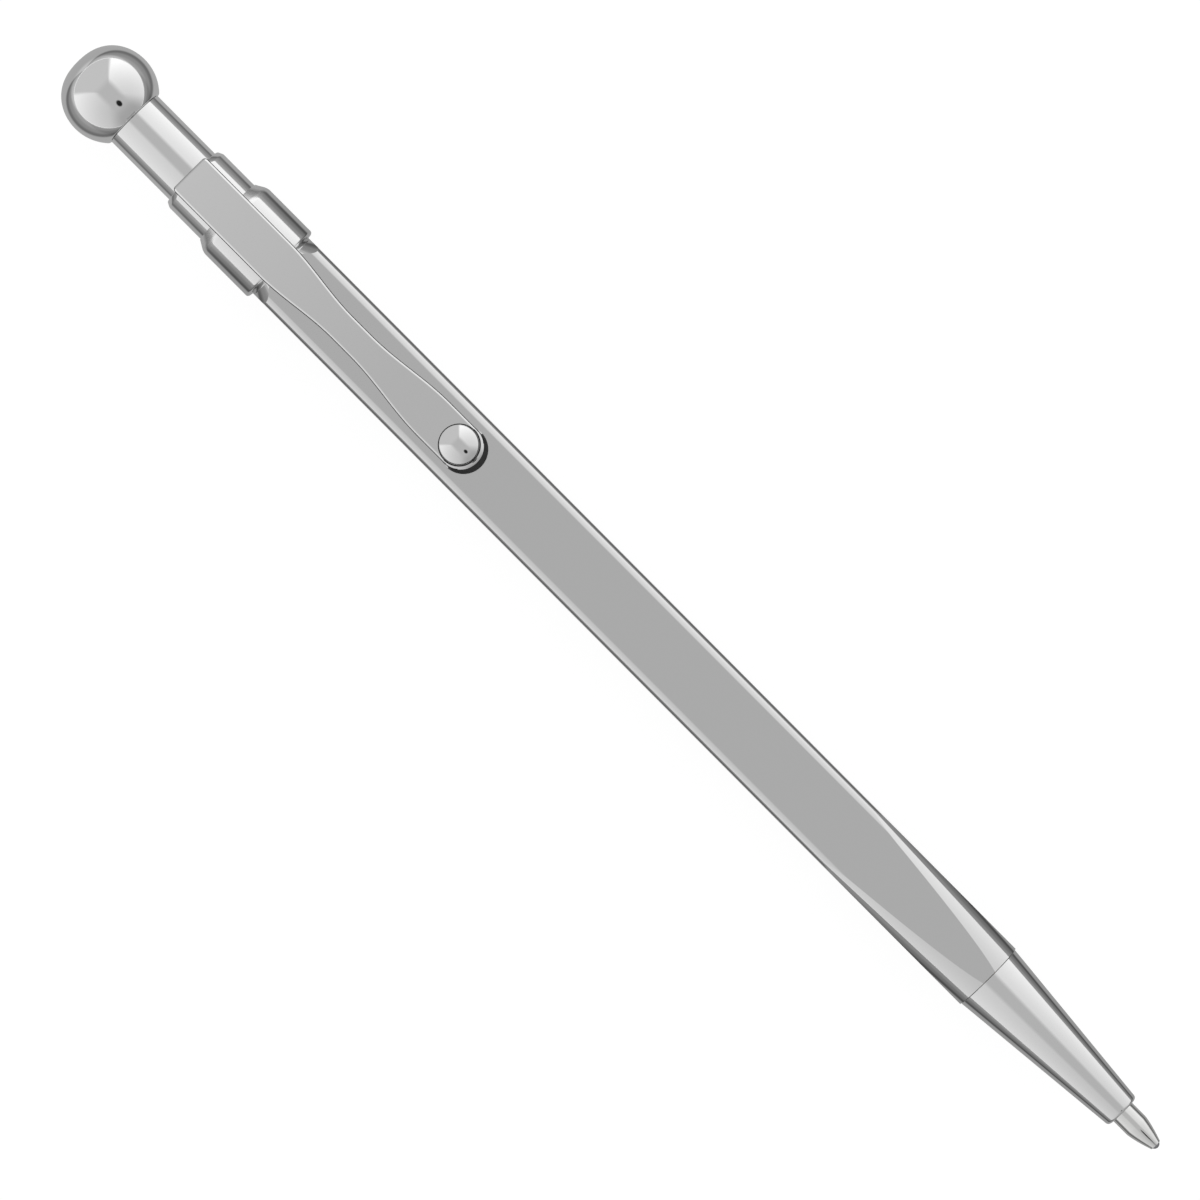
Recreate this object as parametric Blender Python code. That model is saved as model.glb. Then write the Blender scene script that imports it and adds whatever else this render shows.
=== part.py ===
"""Pocket ballpoint pen: a ball-knobbed click pen with a rounded square barrel, a waisted clip
with a ball in its end, a screwed nose cone and a slim refill, with the ratchet inside.

The pen is drawn along its own axis. A station is a distance from the back of the knob towards
the tip, and a radius is a distance from the axis. The pen lies level along +X with its clip up,
and the origin is on the ground below the middle of its length. It is drawn with its tip out.
Everything across is built outwards from the refill, and everything along is one chain.
"""

import math

import bmesh
import bpy
from mathutils import Matrix, Vector

# Fits and small allowances
RUNNING_FIT = 0.00005
SEAT_FIT = 0.00005
RATTLE = 0.00015
OVERRUN = 0.001
WELD = 0.0000005
EDGE_BREAK = 0.00012

# Refill
TUBE_DIAMETER = 0.0030
TUBE_WALL = 0.0005
NIB_DIAMETER = 0.00235
NIB_SHANK_DIAMETER = 0.0012
NIB_SHOWN = 0.00453
NIB_TAPER = 0.0028
NIB_TAPER_POWER_SHARE = 1.35
INK_BORE_DIAMETER = 0.0006
WRITING_BALL_DIAMETER = 0.0009
BALL_RIM_WALL = 0.00006
RIM_HEIGHT_SHARE = 0.33
TIP_PLUG_LENGTH = 0.0060
TIP_PLUG_FLANGE = 0.0008
TIP_PLUG_FLANGE_PROUD = 0.0002
END_PLUG_HEAD = 0.0005
END_PLUG_LENGTH = 0.0040
INK_EMPTY_LENGTH = 0.0120

# Click mechanism
CLICK_TRAVEL = 0.0054
OVER_PRESS = 0.0010
CAM_RIBS = 4
CAM_TEETH = 8
TOOTH_HEIGHT = 0.0008
TOOTH_RISE_SHARE = 0.75
RIB_SLANT = 0.0004
RIB_ANGLE = math.radians(46)
ROTOR_RIB_ANGLE = math.radians(34)
RIB_HEIGHT = 0.0004
ROTOR_WALL = 0.00045
ROTOR_CLEARANCE = 0.0001
ROTOR_LENGTH = 0.0070
ROTOR_RIB_SET_BACK = 0.0005
ROTOR_RIB_LENGTH = 0.0026
ROTOR_POCKET = 0.0035
PILOT_DIAMETER = 0.0020
PILOT_LENGTH = 0.0045
SLEEVE_WALL = 0.0004
SLEEVE_LEDGE = 0.0010
SLEEVE_FRONT_SPARE = 0.0016
THRUST_LUG_LENGTH = 0.0015
THRUST_LUG_SET_BACK = 0.0003
THRUST_SHANK_LENGTH = 0.0040
STEM_WALL = 0.00045
STEM_GUIDED_LENGTH = 0.0079
STEM_END_WALL = 0.0026

# Outside
BARREL_WALL = 0.00055
BARREL_CORNER_RADIUS = 0.00095
BARREL_SHOWN_LENGTH = 0.08977
BARREL_NECK_LENGTH = 0.0049
BARREL_CHAMFER_LENGTH = 0.0016
BARREL_SHOULDER = 0.00005
FRONT_TURNED_LENGTH = 0.0173
FRONT_TURNED_POWER_SHARE = 0.75
FRONT_TURNED_OVERRUN_SHARE = 1.12
FRONT_UNDERCUT = 0.00002
HEAD_BUSH_WALL = 0.00045
HEAD_BUSH_SHOWN = 0.00446
HEAD_BUSH_LEAD = 0.0005
BAND_WALL = 0.000625
BAND_LENGTH = 0.00664
BAND_REAR_EDGE = 0.00004
BAND_CONE_LENGTH = 0.00105
BAND_EDGE_ROUND = 0.00025
KNOB_DIAMETER = 0.0088
KNOB_CENTRE = 0.00407
KNOB_BACK_ROUNDNESS_SHARE = 2.4
KNOB_LIP = 0.00023
STEM_SHOWN_LENGTH = 0.00739
STUD_DIAMETER = 0.0024
STUD_IN_KNOB = 0.0028

# Nose
NOSE_LENGTH = 0.0171
NOSE_STEP = 0.00011
NOSE_LIP_WALL = 0.0005
NOSE_FRONT_ROUND = 0.0003
NOSE_NIB_BORE_LENGTH = 0.0052
THREAD_LENGTH = 0.0042
THREAD_PITCH = 0.00075
THREAD_DEPTH = 0.0002
THREAD_WALL = 0.00025
INSERT_WALL = 0.0004
FRONT_BUSH_IN_BARREL = 0.0080
NIB_BORE_FIT = 0.000075

# Return spring
SPRING_WIRE_DIAMETER = 0.0003
SPRING_CURLS = 9
SPRING_POINTS_PER_CURL = 10
SPRING_ROOM = 0.00015

# Clip
CLIP_THICKNESS = 0.0007
CLIP_HEAD_WIDTH = 0.00412
CLIP_WAIST_WIDTH = 0.00272
CLIP_END_WIDTH = 0.00420
CLIP_HEAD_OVERHANG = 0.0002
CLIP_HEAD_LENGTH = 0.0107
CLIP_WAIST_START = 0.0195
CLIP_WAIST_END = 0.0217
CLIP_END_START = 0.0310
CLIP_BALL_PLACE = 0.0341
CLIP_END_DRAFT = 0.00065
CLIP_CORNER_RADIUS = 0.00027
CLIP_EDGE = 0.00015
CLIP_FOOT_WIDTH = 0.0028
CLIP_FOOT_LENGTH = 0.0038
CLIP_CROWN_RADIUS = 0.0026
CLIP_CROWN_REACH = 0.0014
CLIP_SHOULDER_RADIUS = 0.00075
CLIP_BALL_SUNK = 0.00025
CLIP_BALL_LIFT = 0.0001
CLIP_GROOVE_WIDTH = 0.00012
CLIP_GROOVE_DEPTH = 0.00035

# Facets
OUTER_SIDES = 40
INNER_SIDES = 24
CAM_SIDES = 32
BALL_SIDES = 16
CORNER_SIDES = 8
KNOB_RINGS = 7
TURNED_RINGS = 9
DOME_RINGS = 4
SWEEP_SIDES = 5
NIB_RINGS = 6
ROUND_STEPS = 3
CLIP_SIDE_STEPS = 14
SHARP_ANGLE = math.radians(30)

# Radii, outwards from the refill
tube_radius = TUBE_DIAMETER / 2
tube_bore = tube_radius - TUBE_WALL
nib_radius = NIB_DIAMETER / 2
rotor_pocket_radius = tube_radius + RUNNING_FIT
rotor_radius = rotor_pocket_radius + ROTOR_WALL
sleeve_rib_radius = rotor_radius + ROTOR_CLEARANCE
sleeve_slot_radius = sleeve_rib_radius + RIB_HEIGHT
sleeve_radius = sleeve_slot_radius + SLEEVE_WALL
barrel_bore = sleeve_radius + SEAT_FIT
barrel_half_width = barrel_bore + BARREL_WALL
barrel_corner_reach = (barrel_half_width - BARREL_CORNER_RADIUS) * math.sqrt(2) + BARREL_CORNER_RADIUS
stem_radius = barrel_bore - RUNNING_FIT
stem_bore = stem_radius - STEM_WALL
thrust_shank_radius = stem_bore - SEAT_FIT
thrust_shaft_radius = sleeve_rib_radius - RUNNING_FIT
cam_rib_radius = sleeve_slot_radius - RUNNING_FIT
pilot_radius = PILOT_DIAMETER / 2
thrust_bore = pilot_radius + ROTOR_CLEARANCE
head_bush_radius = barrel_bore + HEAD_BUSH_WALL
band_bore = head_bush_radius + SEAT_FIT
band_radius = band_bore + BAND_WALL
knob_radius = KNOB_DIAMETER / 2
knob_neck_radius = stem_radius + KNOB_LIP
stud_radius = STUD_DIAMETER / 2
tip_flange_radius = tube_radius + TIP_PLUG_FLANGE_PROUD
spring_chamber_radius = tip_flange_radius + SPRING_ROOM
thread_root = spring_chamber_radius + THREAD_WALL
thread_radius = thread_root + THREAD_DEPTH
insert_bore = thread_radius + RUNNING_FIT
insert_radius = insert_bore + INSERT_WALL
nose_front_radius = nib_radius + NIB_BORE_FIT + NOSE_LIP_WALL
nose_rear_radius = barrel_half_width - NOSE_STEP
spring_wire_radius = SPRING_WIRE_DIAMETER / 2
spring_coil_radius = tip_flange_radius - spring_wire_radius

# Stations, from the back of the knob to the tip
knob_neck_end = KNOB_CENTRE + math.sqrt(knob_radius**2 - knob_neck_radius**2)
bush_rear = knob_neck_end + STEM_SHOWN_LENGTH
band_rear = bush_rear + HEAD_BUSH_SHOWN
band_front = band_rear + BAND_LENGTH
nose_joint = band_front + BARREL_SHOWN_LENGTH
nose_front = nose_joint + NOSE_LENGTH
tip = nose_front + NIB_SHOWN
stem_rear = knob_neck_end + SEAT_FIT
stem_front = bush_rear + STEM_GUIDED_LENGTH
neck_front = band_front + SEAT_FIT
barrel_rear = neck_front - BARREL_NECK_LENGTH
sleeve_rear = stem_front + OVER_PRESS + RATTLE
slot_rear = sleeve_rear + SLEEVE_LEDGE
lug_rear = slot_rear + CLICK_TRAVEL + RATTLE
lug_front = lug_rear + THRUST_LUG_LENGTH
thrust_root = lug_front + THRUST_LUG_SET_BACK
rotor_rear = thrust_root + TOOTH_HEIGHT + RATTLE
rotor_rib_rear = rotor_rear + TOOTH_HEIGHT + ROTOR_RIB_SET_BACK
rotor_front = rotor_rear + ROTOR_LENGTH
sleeve_rib_front = rotor_rib_rear - RIB_SLANT - RATTLE
sleeve_front = rotor_front + SLEEVE_FRONT_SPARE
refill_rear = rotor_front - ROTOR_POCKET + RATTLE
tube_rear = refill_rear + END_PLUG_HEAD + SEAT_FIT
spring_seat = nose_front - NOSE_NIB_BORE_LENGTH
spring_rear = nose_joint + THREAD_LENGTH - TIP_PLUG_FLANGE
flange_rear = spring_rear - TIP_PLUG_FLANGE
tube_front = flange_rear - SEAT_FIT
tip_plug_rear = tube_front - TIP_PLUG_LENGTH
nib_shoulder = spring_rear + SEAT_FIT
ball_radius = WRITING_BALL_DIAMETER / 2
socket_radius = ball_radius + RUNNING_FIT
ball_centre = tip - ball_radius
socket_rim = ball_centre + ball_radius * RIM_HEIGHT_SHARE

# Clip heights above the axis, and its stations
clip_under = band_radius + SEAT_FIT
clip_top = clip_under + CLIP_THICKNESS
clip_rear = bush_rear - CLIP_HEAD_OVERHANG
clip_ball_station = clip_rear + CLIP_BALL_PLACE
clip_ball_bottom = barrel_half_width + CLIP_BALL_LIFT
clip_shoulder_height = clip_top - CLIP_BALL_SUNK
clip_crown_turn = math.asin(CLIP_CROWN_REACH / CLIP_CROWN_RADIUS)
clip_shoulder_offset = CLIP_CROWN_RADIUS - CLIP_SHOULDER_RADIUS
clip_ball_radius = clip_shoulder_offset * math.sin(clip_crown_turn) + CLIP_SHOULDER_RADIUS
clip_crown_centre = clip_shoulder_height - clip_shoulder_offset * math.cos(clip_crown_turn)
clip_seat_radius = head_bush_radius + SEAT_FIT
ground_to_axis = max(knob_radius, band_radius)

# Finishes: colour, roughness, metallic
FINISHES = {
    "polished_metal": ((0.78, 0.78, 0.78, 1.0), 0.08, 1.0),
    "brass": ((0.80, 0.62, 0.32, 1.0), 0.25, 1.0),
    "spring_steel": ((0.60, 0.60, 0.62, 1.0), 0.25, 1.0),
    "nib_metal": ((0.74, 0.74, 0.74, 1.0), 0.15, 1.0),
    "carbide": ((0.35, 0.35, 0.37, 1.0), 0.15, 1.0),
    "white_plastic": ((0.85, 0.85, 0.83, 1.0), 0.45, 0.0),
    "black_plastic": ((0.04, 0.04, 0.045, 1.0), 0.45, 0.0),
    "tube_plastic": ((0.78, 0.82, 0.86, 1.0), 0.30, 0.0),
    "ink": ((0.02, 0.04, 0.25, 1.0), 0.35, 0.0),
}

# Each moving group: the group it rides on, and a point on its joint's axis
GROUPS = {
    "case": (None, (0, 0, 0)),
    "plunger": ("case", (0, 0, 0)),
    "refill": ("case", (0, 0, 0)),
    "rotor": ("refill", (rotor_rear, 0, 0)),
    "ball": ("refill", (ball_centre, 0, 0)),
    "nose_travel": ("case", (nose_joint, 0, 0)),
    "nose": ("nose_travel", (nose_joint, 0, 0)),
    "clip": ("case", (clip_rear, 0, clip_seat_radius)),
}


def clear_scene():
    """Start from an empty scene."""
    for old in list(bpy.data.objects):
        bpy.data.objects.remove(old, do_unlink=True)


def make_finishes():
    """One Principled material for each finish."""
    made = {}
    for name, (colour, roughness, metallic) in FINISHES.items():
        material = bpy.data.materials.new(name)
        material.use_nodes = True
        shader = material.node_tree.nodes["Principled BSDF"]
        shader.inputs["Base Color"].default_value = colour
        shader.inputs["Roughness"].default_value = roughness
        shader.inputs["Metallic"].default_value = metallic
        material.diffuse_color = colour
        made[name] = material
    return made


def make_groups():
    """An empty on each joint's axis, so that a group moves by moving its empty."""
    made = {}
    for name, (parent, point) in GROUPS.items():
        empty = bpy.data.objects.new(name + "_axis", None)
        bpy.context.scene.collection.objects.link(empty)
        if parent is None:
            empty.location = (-tip / 2, 0, ground_to_axis)
        else:
            empty.parent = made[parent]
            empty.location = Vector(point) - Vector(GROUPS[parent][1])
        made[name] = empty
    return made


def place(name, mesh, finish, group, helper=False):
    """Turn a bmesh drawn along the pen's axis into an object of its group."""
    data = bpy.data.meshes.new(name)
    mesh.to_mesh(data)
    mesh.free()
    data.transform(Matrix.Translation(-Vector(GROUPS[group][1])))
    data.shade_smooth()
    data.set_sharp_from_angle(angle=SHARP_ANGLE)
    data.materials.append(finishes[finish])
    piece = bpy.data.objects.new(name, data)
    bpy.context.scene.collection.objects.link(piece)
    piece.parent = groups[group]
    if helper:
        piece.hide_render = True
        piece.display_type = "WIRE"
    return piece


def combine(piece, other, operation):
    """Join, cut or trim a piece with a hidden helper."""
    modifier = piece.modifiers.new(operation.lower() + "_" + other.name, "BOOLEAN")
    modifier.operation = operation
    modifier.solver = "EXACT"
    modifier.object = other


def tidy(mesh):
    """Merge the doubled points and face everything outwards."""
    bmesh.ops.remove_doubles(mesh, verts=mesh.verts, dist=WELD)
    bmesh.ops.recalc_face_normals(mesh, faces=mesh.faces)
    return mesh


def turned(outline, sides):
    """Spin (station, radius) points about the axis. Outlines that start on the axis are solid."""
    mesh = bmesh.new()
    points = [mesh.verts.new((station, 0, radius)) for station, radius in outline]
    pairs = list(zip(points, points[1:]))
    if outline[0][1] > 0:
        pairs.append((points[-1], points[0]))
    edges = [mesh.edges.new(pair) for pair in pairs]
    bmesh.ops.spin(
        mesh, geom=points + edges, cent=(0, 0, 0), axis=(1, 0, 0), angle=math.tau, steps=sides
    )
    return tidy(mesh)


def rod(start, end, radius, sides):
    """A plain solid cylinder."""
    return turned([(start, 0), (start, radius), (end, radius), (end, 0)], sides)


def tube(start, end, bore, radius, sides):
    """A plain tube with broken outer edges."""
    edge = min(EDGE_BREAK, (radius - bore) / 3)
    return turned(
        [
            (start, bore),
            (start, radius - edge),
            (start + edge, radius),
            (end - edge, radius),
            (end, radius - edge),
            (end, bore),
        ],
        sides,
    )


def sphere(radius, centre, sides):
    """A ball, with half as many rings as sides."""
    mesh = bmesh.new()
    bmesh.ops.create_uvsphere(mesh, u_segments=sides, v_segments=sides // 2, radius=radius)
    bmesh.ops.translate(mesh, verts=mesh.verts, vec=centre)
    return mesh


def angle_of(point):
    """A point's angle about the axis, from straight up."""
    return math.atan2(-point.y, point.z)


def saw(angle, teeth):
    """The height share of a ratchet tooth at an angle: a long rise and a short drop."""
    share = (angle * teeth / math.tau) % 1
    if share < TOOTH_RISE_SHARE:
        return share / TOOTH_RISE_SHARE
    return (1 - share) / (1 - TOOTH_RISE_SHARE)


def cut_crown(mesh, station, height):
    """Raise the ring of points at one station into ratchet teeth along the axis."""
    for point in mesh.verts:
        if abs(point.co.x - station) < WELD:
            point.co.x += height * saw(angle_of(point.co), CAM_TEETH)
    return mesh


def rib(rear, front, inner, outer, centre, width, rear_slant=0, front_slant=0):
    """A rib swept part of the way round the axis, its ends slanted like a screw thread."""
    mesh = bmesh.new()
    corners = ((rear, inner), (rear, outer), (front, outer), (front, inner))
    points = [mesh.verts.new((station, 0, radius)) for station, radius in corners]
    face = mesh.faces.new(points)
    bmesh.ops.rotate(
        mesh, verts=points, cent=(0, 0, 0), matrix=Matrix.Rotation(centre - width / 2, 3, "X")
    )
    bmesh.ops.spin(
        mesh,
        geom=points + list(mesh.edges) + [face],
        cent=(0, 0, 0),
        axis=(1, 0, 0),
        angle=width,
        steps=SWEEP_SIDES,
    )
    tidy(mesh)
    middle = (rear + front) / 2
    for point in mesh.verts:
        turn = (angle_of(point.co) - centre + math.pi) % math.tau - math.pi
        share = turn / width + 1 / 2
        point.co.x += share * (rear_slant if point.co.x < middle else front_slant)
    return mesh


def add_ribs(piece, group, offset, **shape):
    """Join equal ribs to a turned piece, spaced evenly round it."""
    for number in range(CAM_RIBS):
        mesh = rib(centre=offset + number * math.tau / CAM_RIBS, **shape)
        helper = place(f"{piece.name}_rib_{number}", mesh, "white_plastic", group, True)
        combine(piece, helper, "UNION")


def make_knob():
    """The ball knob: a ball with a flattened back, cut off square where the stem comes out."""
    power = 2 / KNOB_BACK_ROUNDNESS_SHARE
    outline = []
    for ring in range(KNOB_RINGS):
        turn = math.pi / 2 * ring / KNOB_RINGS
        back = KNOB_CENTRE * (1 - math.cos(turn))
        outline.append((back, knob_radius * math.sin(turn) ** power))
    neck_turn = math.asin(knob_neck_radius / knob_radius)
    for ring in range(KNOB_RINGS + 1):
        turn = math.pi / 2 + (math.pi / 2 - neck_turn) * ring / KNOB_RINGS
        station = KNOB_CENTRE - knob_radius * math.cos(turn)
        outline.append((station, knob_radius * math.sin(turn)))
    bore = stud_radius + SEAT_FIT
    outline += [
        (knob_neck_end, bore),
        (knob_neck_end - STUD_IN_KNOB, bore),
        (knob_neck_end - STUD_IN_KNOB - bore / 2, 0),
    ]
    place("knob", turned(outline, OUTER_SIDES), "polished_metal", "plunger")


def make_plunger():
    """The stem, the stud that holds the knob on it, and the toothed thrust cam in its front end."""
    hole = stud_radius + SEAT_FIT
    wall_front = stem_rear + STEM_END_WALL
    stem = [
        (stem_rear, hole),
        (stem_rear, stem_radius - EDGE_BREAK),
        (stem_rear + EDGE_BREAK, stem_radius),
        (stem_front - EDGE_BREAK, stem_radius),
        (stem_front, stem_radius - EDGE_BREAK),
        (stem_front, stem_bore),
        (wall_front, stem_bore),
        (wall_front, hole),
    ]
    place("plunger_stem", turned(stem, OUTER_SIDES), "polished_metal", "plunger")
    stud_rear = knob_neck_end - STUD_IN_KNOB + SEAT_FIT
    stud = tube(stud_rear, wall_front, INK_BORE_DIAMETER, stud_radius, INNER_SIDES)
    place("knob_stud", stud, "brass", "plunger")
    shank_rear = stem_front - THRUST_SHANK_LENGTH
    outline = [
        (shank_rear, thrust_bore),
        (shank_rear, thrust_shank_radius - EDGE_BREAK),
        (shank_rear + EDGE_BREAK, thrust_shank_radius),
        (stem_front, thrust_shank_radius),
        (stem_front, thrust_shaft_radius),
        (thrust_root, thrust_shaft_radius),
        (thrust_root, thrust_bore),
    ]
    crown = cut_crown(turned(outline, CAM_SIDES), thrust_root, TOOTH_HEIGHT)
    cam = place("thrust_cam", crown, "white_plastic", "plunger")
    add_ribs(
        cam,
        "plunger",
        0,
        rear=lug_rear,
        front=lug_front,
        inner=thrust_shaft_radius - RIB_HEIGHT / 2,
        outer=cam_rib_radius,
        width=ROTOR_RIB_ANGLE,
    )


def make_guide_sleeve():
    """The fixed sleeve: a rear ledge that keeps the plunger in, and ribs whose slanted ends latch."""
    outline = [
        (sleeve_rear, sleeve_rib_radius),
        (sleeve_rear, sleeve_radius - EDGE_BREAK),
        (sleeve_rear + EDGE_BREAK, sleeve_radius),
        (sleeve_front - EDGE_BREAK, sleeve_radius),
        (sleeve_front, sleeve_radius - EDGE_BREAK),
        (sleeve_front, sleeve_slot_radius),
        (slot_rear, sleeve_slot_radius),
        (slot_rear, sleeve_rib_radius),
    ]
    sleeve = place("guide_sleeve", turned(outline, CAM_SIDES), "white_plastic", "case")
    add_ribs(
        sleeve,
        "case",
        math.pi / CAM_RIBS,
        rear=slot_rear - SLEEVE_LEDGE / 2,
        front=sleeve_rib_front - RIB_SLANT,
        inner=sleeve_rib_radius,
        outer=sleeve_slot_radius + SLEEVE_WALL / 2,
        width=RIB_ANGLE,
        front_slant=RIB_SLANT,
    )


def make_rotor():
    """The turning cam: pilot, toothed crown, slanted ribs that latch, and the refill's pocket."""
    pocket = rotor_front - ROTOR_POCKET
    outline = [
        (rotor_rear - PILOT_LENGTH, 0),
        (rotor_rear - PILOT_LENGTH, pilot_radius - EDGE_BREAK),
        (rotor_rear - PILOT_LENGTH + EDGE_BREAK, pilot_radius),
        (rotor_rear, pilot_radius),
        (rotor_rear, rotor_radius),
        (rotor_front - EDGE_BREAK, rotor_radius),
        (rotor_front, rotor_radius - EDGE_BREAK),
        (rotor_front, rotor_pocket_radius),
        (pocket, rotor_pocket_radius),
        (pocket, 0),
    ]
    crown = cut_crown(turned(outline, CAM_SIDES), rotor_rear, TOOTH_HEIGHT)
    rotor = place("rotor_cam", crown, "black_plastic", "rotor")
    add_ribs(
        rotor,
        "rotor",
        0,
        rear=rotor_rib_rear - RIB_SLANT,
        front=rotor_rib_rear + ROTOR_RIB_LENGTH,
        inner=rotor_radius - RIB_HEIGHT / 2,
        outer=cam_rib_radius,
        width=ROTOR_RIB_ANGLE,
        rear_slant=RIB_SLANT,
    )


def section():
    """The barrel's rounded square, as (across, up) points, four corner arcs in turn."""
    flat = barrel_half_width - BARREL_CORNER_RADIUS
    points = []
    for quarter in range(4):
        for step in range(CORNER_SIDES + 1):
            turn = (quarter + step / CORNER_SIDES) * math.pi / 2
            middle = (quarter + 1 / 2) * math.pi / 2
            across = math.copysign(flat, math.cos(middle)) + BARREL_CORNER_RADIUS * math.cos(turn)
            up = math.copysign(flat, math.sin(middle)) + BARREL_CORNER_RADIUS * math.sin(turn)
            points.append((across, up))
    return points


def make_barrel():
    """The barrel: a drawn rounded square tube, turned round at both ends.

    The long turning at the front leaves each flat ending in a pointed arch.
    """
    mesh = bmesh.new()
    rings = []
    for station in (barrel_rear, nose_joint):
        rings.append([mesh.verts.new((station, across, up)) for across, up in section()])
    rear, front = rings
    for here in range(len(rear)):
        then = (here + 1) % len(rear)
        mesh.faces.new((rear[here], rear[then], front[then], front[here]))
    mesh.faces.new(rear)
    mesh.faces.new(front)
    barrel = place("barrel", tidy(mesh), "polished_metal", "case")
    outside = barrel_corner_reach + OVERRUN
    turned_front = barrel_half_width - FRONT_UNDERCUT
    lathe = [
        (barrel_rear - OVERRUN, 0),
        (barrel_rear - OVERRUN, head_bush_radius),
        (neck_front, head_bush_radius),
        (neck_front, barrel_half_width + BARREL_SHOULDER),
        (neck_front + BARREL_CHAMFER_LENGTH, barrel_corner_reach),
        (neck_front + BARREL_CHAMFER_LENGTH + OVERRUN, outside),
        (nose_joint - FRONT_TURNED_LENGTH * FRONT_TURNED_OVERRUN_SHARE - OVERRUN, outside),
    ]
    for ring in range(TURNED_RINGS, -1, -1):
        share = FRONT_TURNED_OVERRUN_SHARE * (ring / TURNED_RINGS) ** 2
        rise = (barrel_corner_reach - turned_front) * share**FRONT_TURNED_POWER_SHARE
        lathe.append((nose_joint - FRONT_TURNED_LENGTH * share, turned_front + rise))
    lathe += [(nose_joint + OVERRUN, turned_front), (nose_joint + OVERRUN, 0)]
    trim = place("barrel_lathe", turned(lathe, OUTER_SIDES), "polished_metal", "case", True)
    combine(barrel, trim, "INTERSECT")
    bore = rod(barrel_rear - OVERRUN, nose_joint + OVERRUN, barrel_bore, OUTER_SIDES)
    combine(barrel, place("barrel_bore", bore, "polished_metal", "case", True), "DIFFERENCE")


def make_head():
    """The small collar that guides the stem, and the band that ties it to the barrel."""
    bush_front = barrel_rear - SEAT_FIT
    bush = [
        (bush_rear, barrel_bore),
        (bush_rear, head_bush_radius - HEAD_BUSH_LEAD / 2),
        (bush_rear + HEAD_BUSH_LEAD, head_bush_radius),
        (bush_front, head_bush_radius),
        (bush_front, barrel_bore),
    ]
    place("head_bush", turned(bush, OUTER_SIDES), "polished_metal", "case")
    band = [
        (band_rear, band_bore),
        (band_rear, band_bore + BAND_REAR_EDGE),
        (band_rear + BAND_CONE_LENGTH, band_radius),
    ]
    for step in range(ROUND_STEPS + 1):
        turn = math.pi / 2 * step / ROUND_STEPS
        back = BAND_EDGE_ROUND * (1 - math.sin(turn))
        fall = BAND_EDGE_ROUND * (1 - math.cos(turn))
        band.append((band_front - back, band_radius - fall))
    band.append((band_front, band_bore))
    place("clip_band", turned(band, OUTER_SIDES), "polished_metal", "case")


def make_nose():
    """The turned nose cone with its threaded insert, and the bush in the barrel it screws onto."""
    rear = nose_joint + SEAT_FIT
    pocket_radius = insert_radius + SEAT_FIT
    pocket_front = nose_joint + THREAD_LENGTH + RATTLE + RATTLE
    nib_bore = nib_radius + NIB_BORE_FIT
    slope = (nose_rear_radius - nose_front_radius) / NOSE_LENGTH
    round_start = nose_front - NOSE_FRONT_ROUND
    cone = [
        (rear, pocket_radius),
        (rear, nose_rear_radius - EDGE_BREAK),
        (rear + EDGE_BREAK, nose_rear_radius - slope * EDGE_BREAK),
        (round_start, nose_front_radius + slope * NOSE_FRONT_ROUND),
    ]
    for step in range(1, ROUND_STEPS + 1):
        turn = math.pi / 2 * step / ROUND_STEPS
        fall = NOSE_FRONT_ROUND * (1 - math.cos(turn))
        cone.append((round_start + NOSE_FRONT_ROUND * math.sin(turn), nose_front_radius - fall))
    cone += [
        (nose_front, nib_bore),
        (spring_seat, nib_bore),
        (spring_seat, spring_chamber_radius),
        (pocket_front, spring_chamber_radius),
        (pocket_front, pocket_radius),
    ]
    place("nose_cone", turned(cone, OUTER_SIDES), "polished_metal", "nose")
    insert_front = nose_joint + THREAD_LENGTH + RATTLE
    insert = tube(rear + SEAT_FIT, insert_front, insert_bore, insert_radius, INNER_SIDES)
    place("nose_insert", insert, "brass", "nose")
    bush_rear_face = nose_joint - FRONT_BUSH_IN_BARREL
    shoulder = nose_joint - SEAT_FIT
    bush = [
        (bush_rear_face, spring_chamber_radius),
        (bush_rear_face, sleeve_radius - EDGE_BREAK),
        (bush_rear_face + EDGE_BREAK, sleeve_radius),
        (shoulder, sleeve_radius),
        (shoulder, thread_root),
    ]
    threads = int(THREAD_LENGTH / THREAD_PITCH)
    for number in range(threads):
        start = nose_joint + number * THREAD_PITCH
        bush.append((start + THREAD_PITCH / 4, thread_root))
        bush.append((start + THREAD_PITCH / 2, thread_radius))
        bush.append((start + THREAD_PITCH * 3 / 4, thread_radius))
        bush.append((start + THREAD_PITCH, thread_root))
    bush.append((nose_joint + threads * THREAD_PITCH, spring_chamber_radius))
    place("front_bush", turned(bush, INNER_SIDES), "brass", "case")


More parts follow.
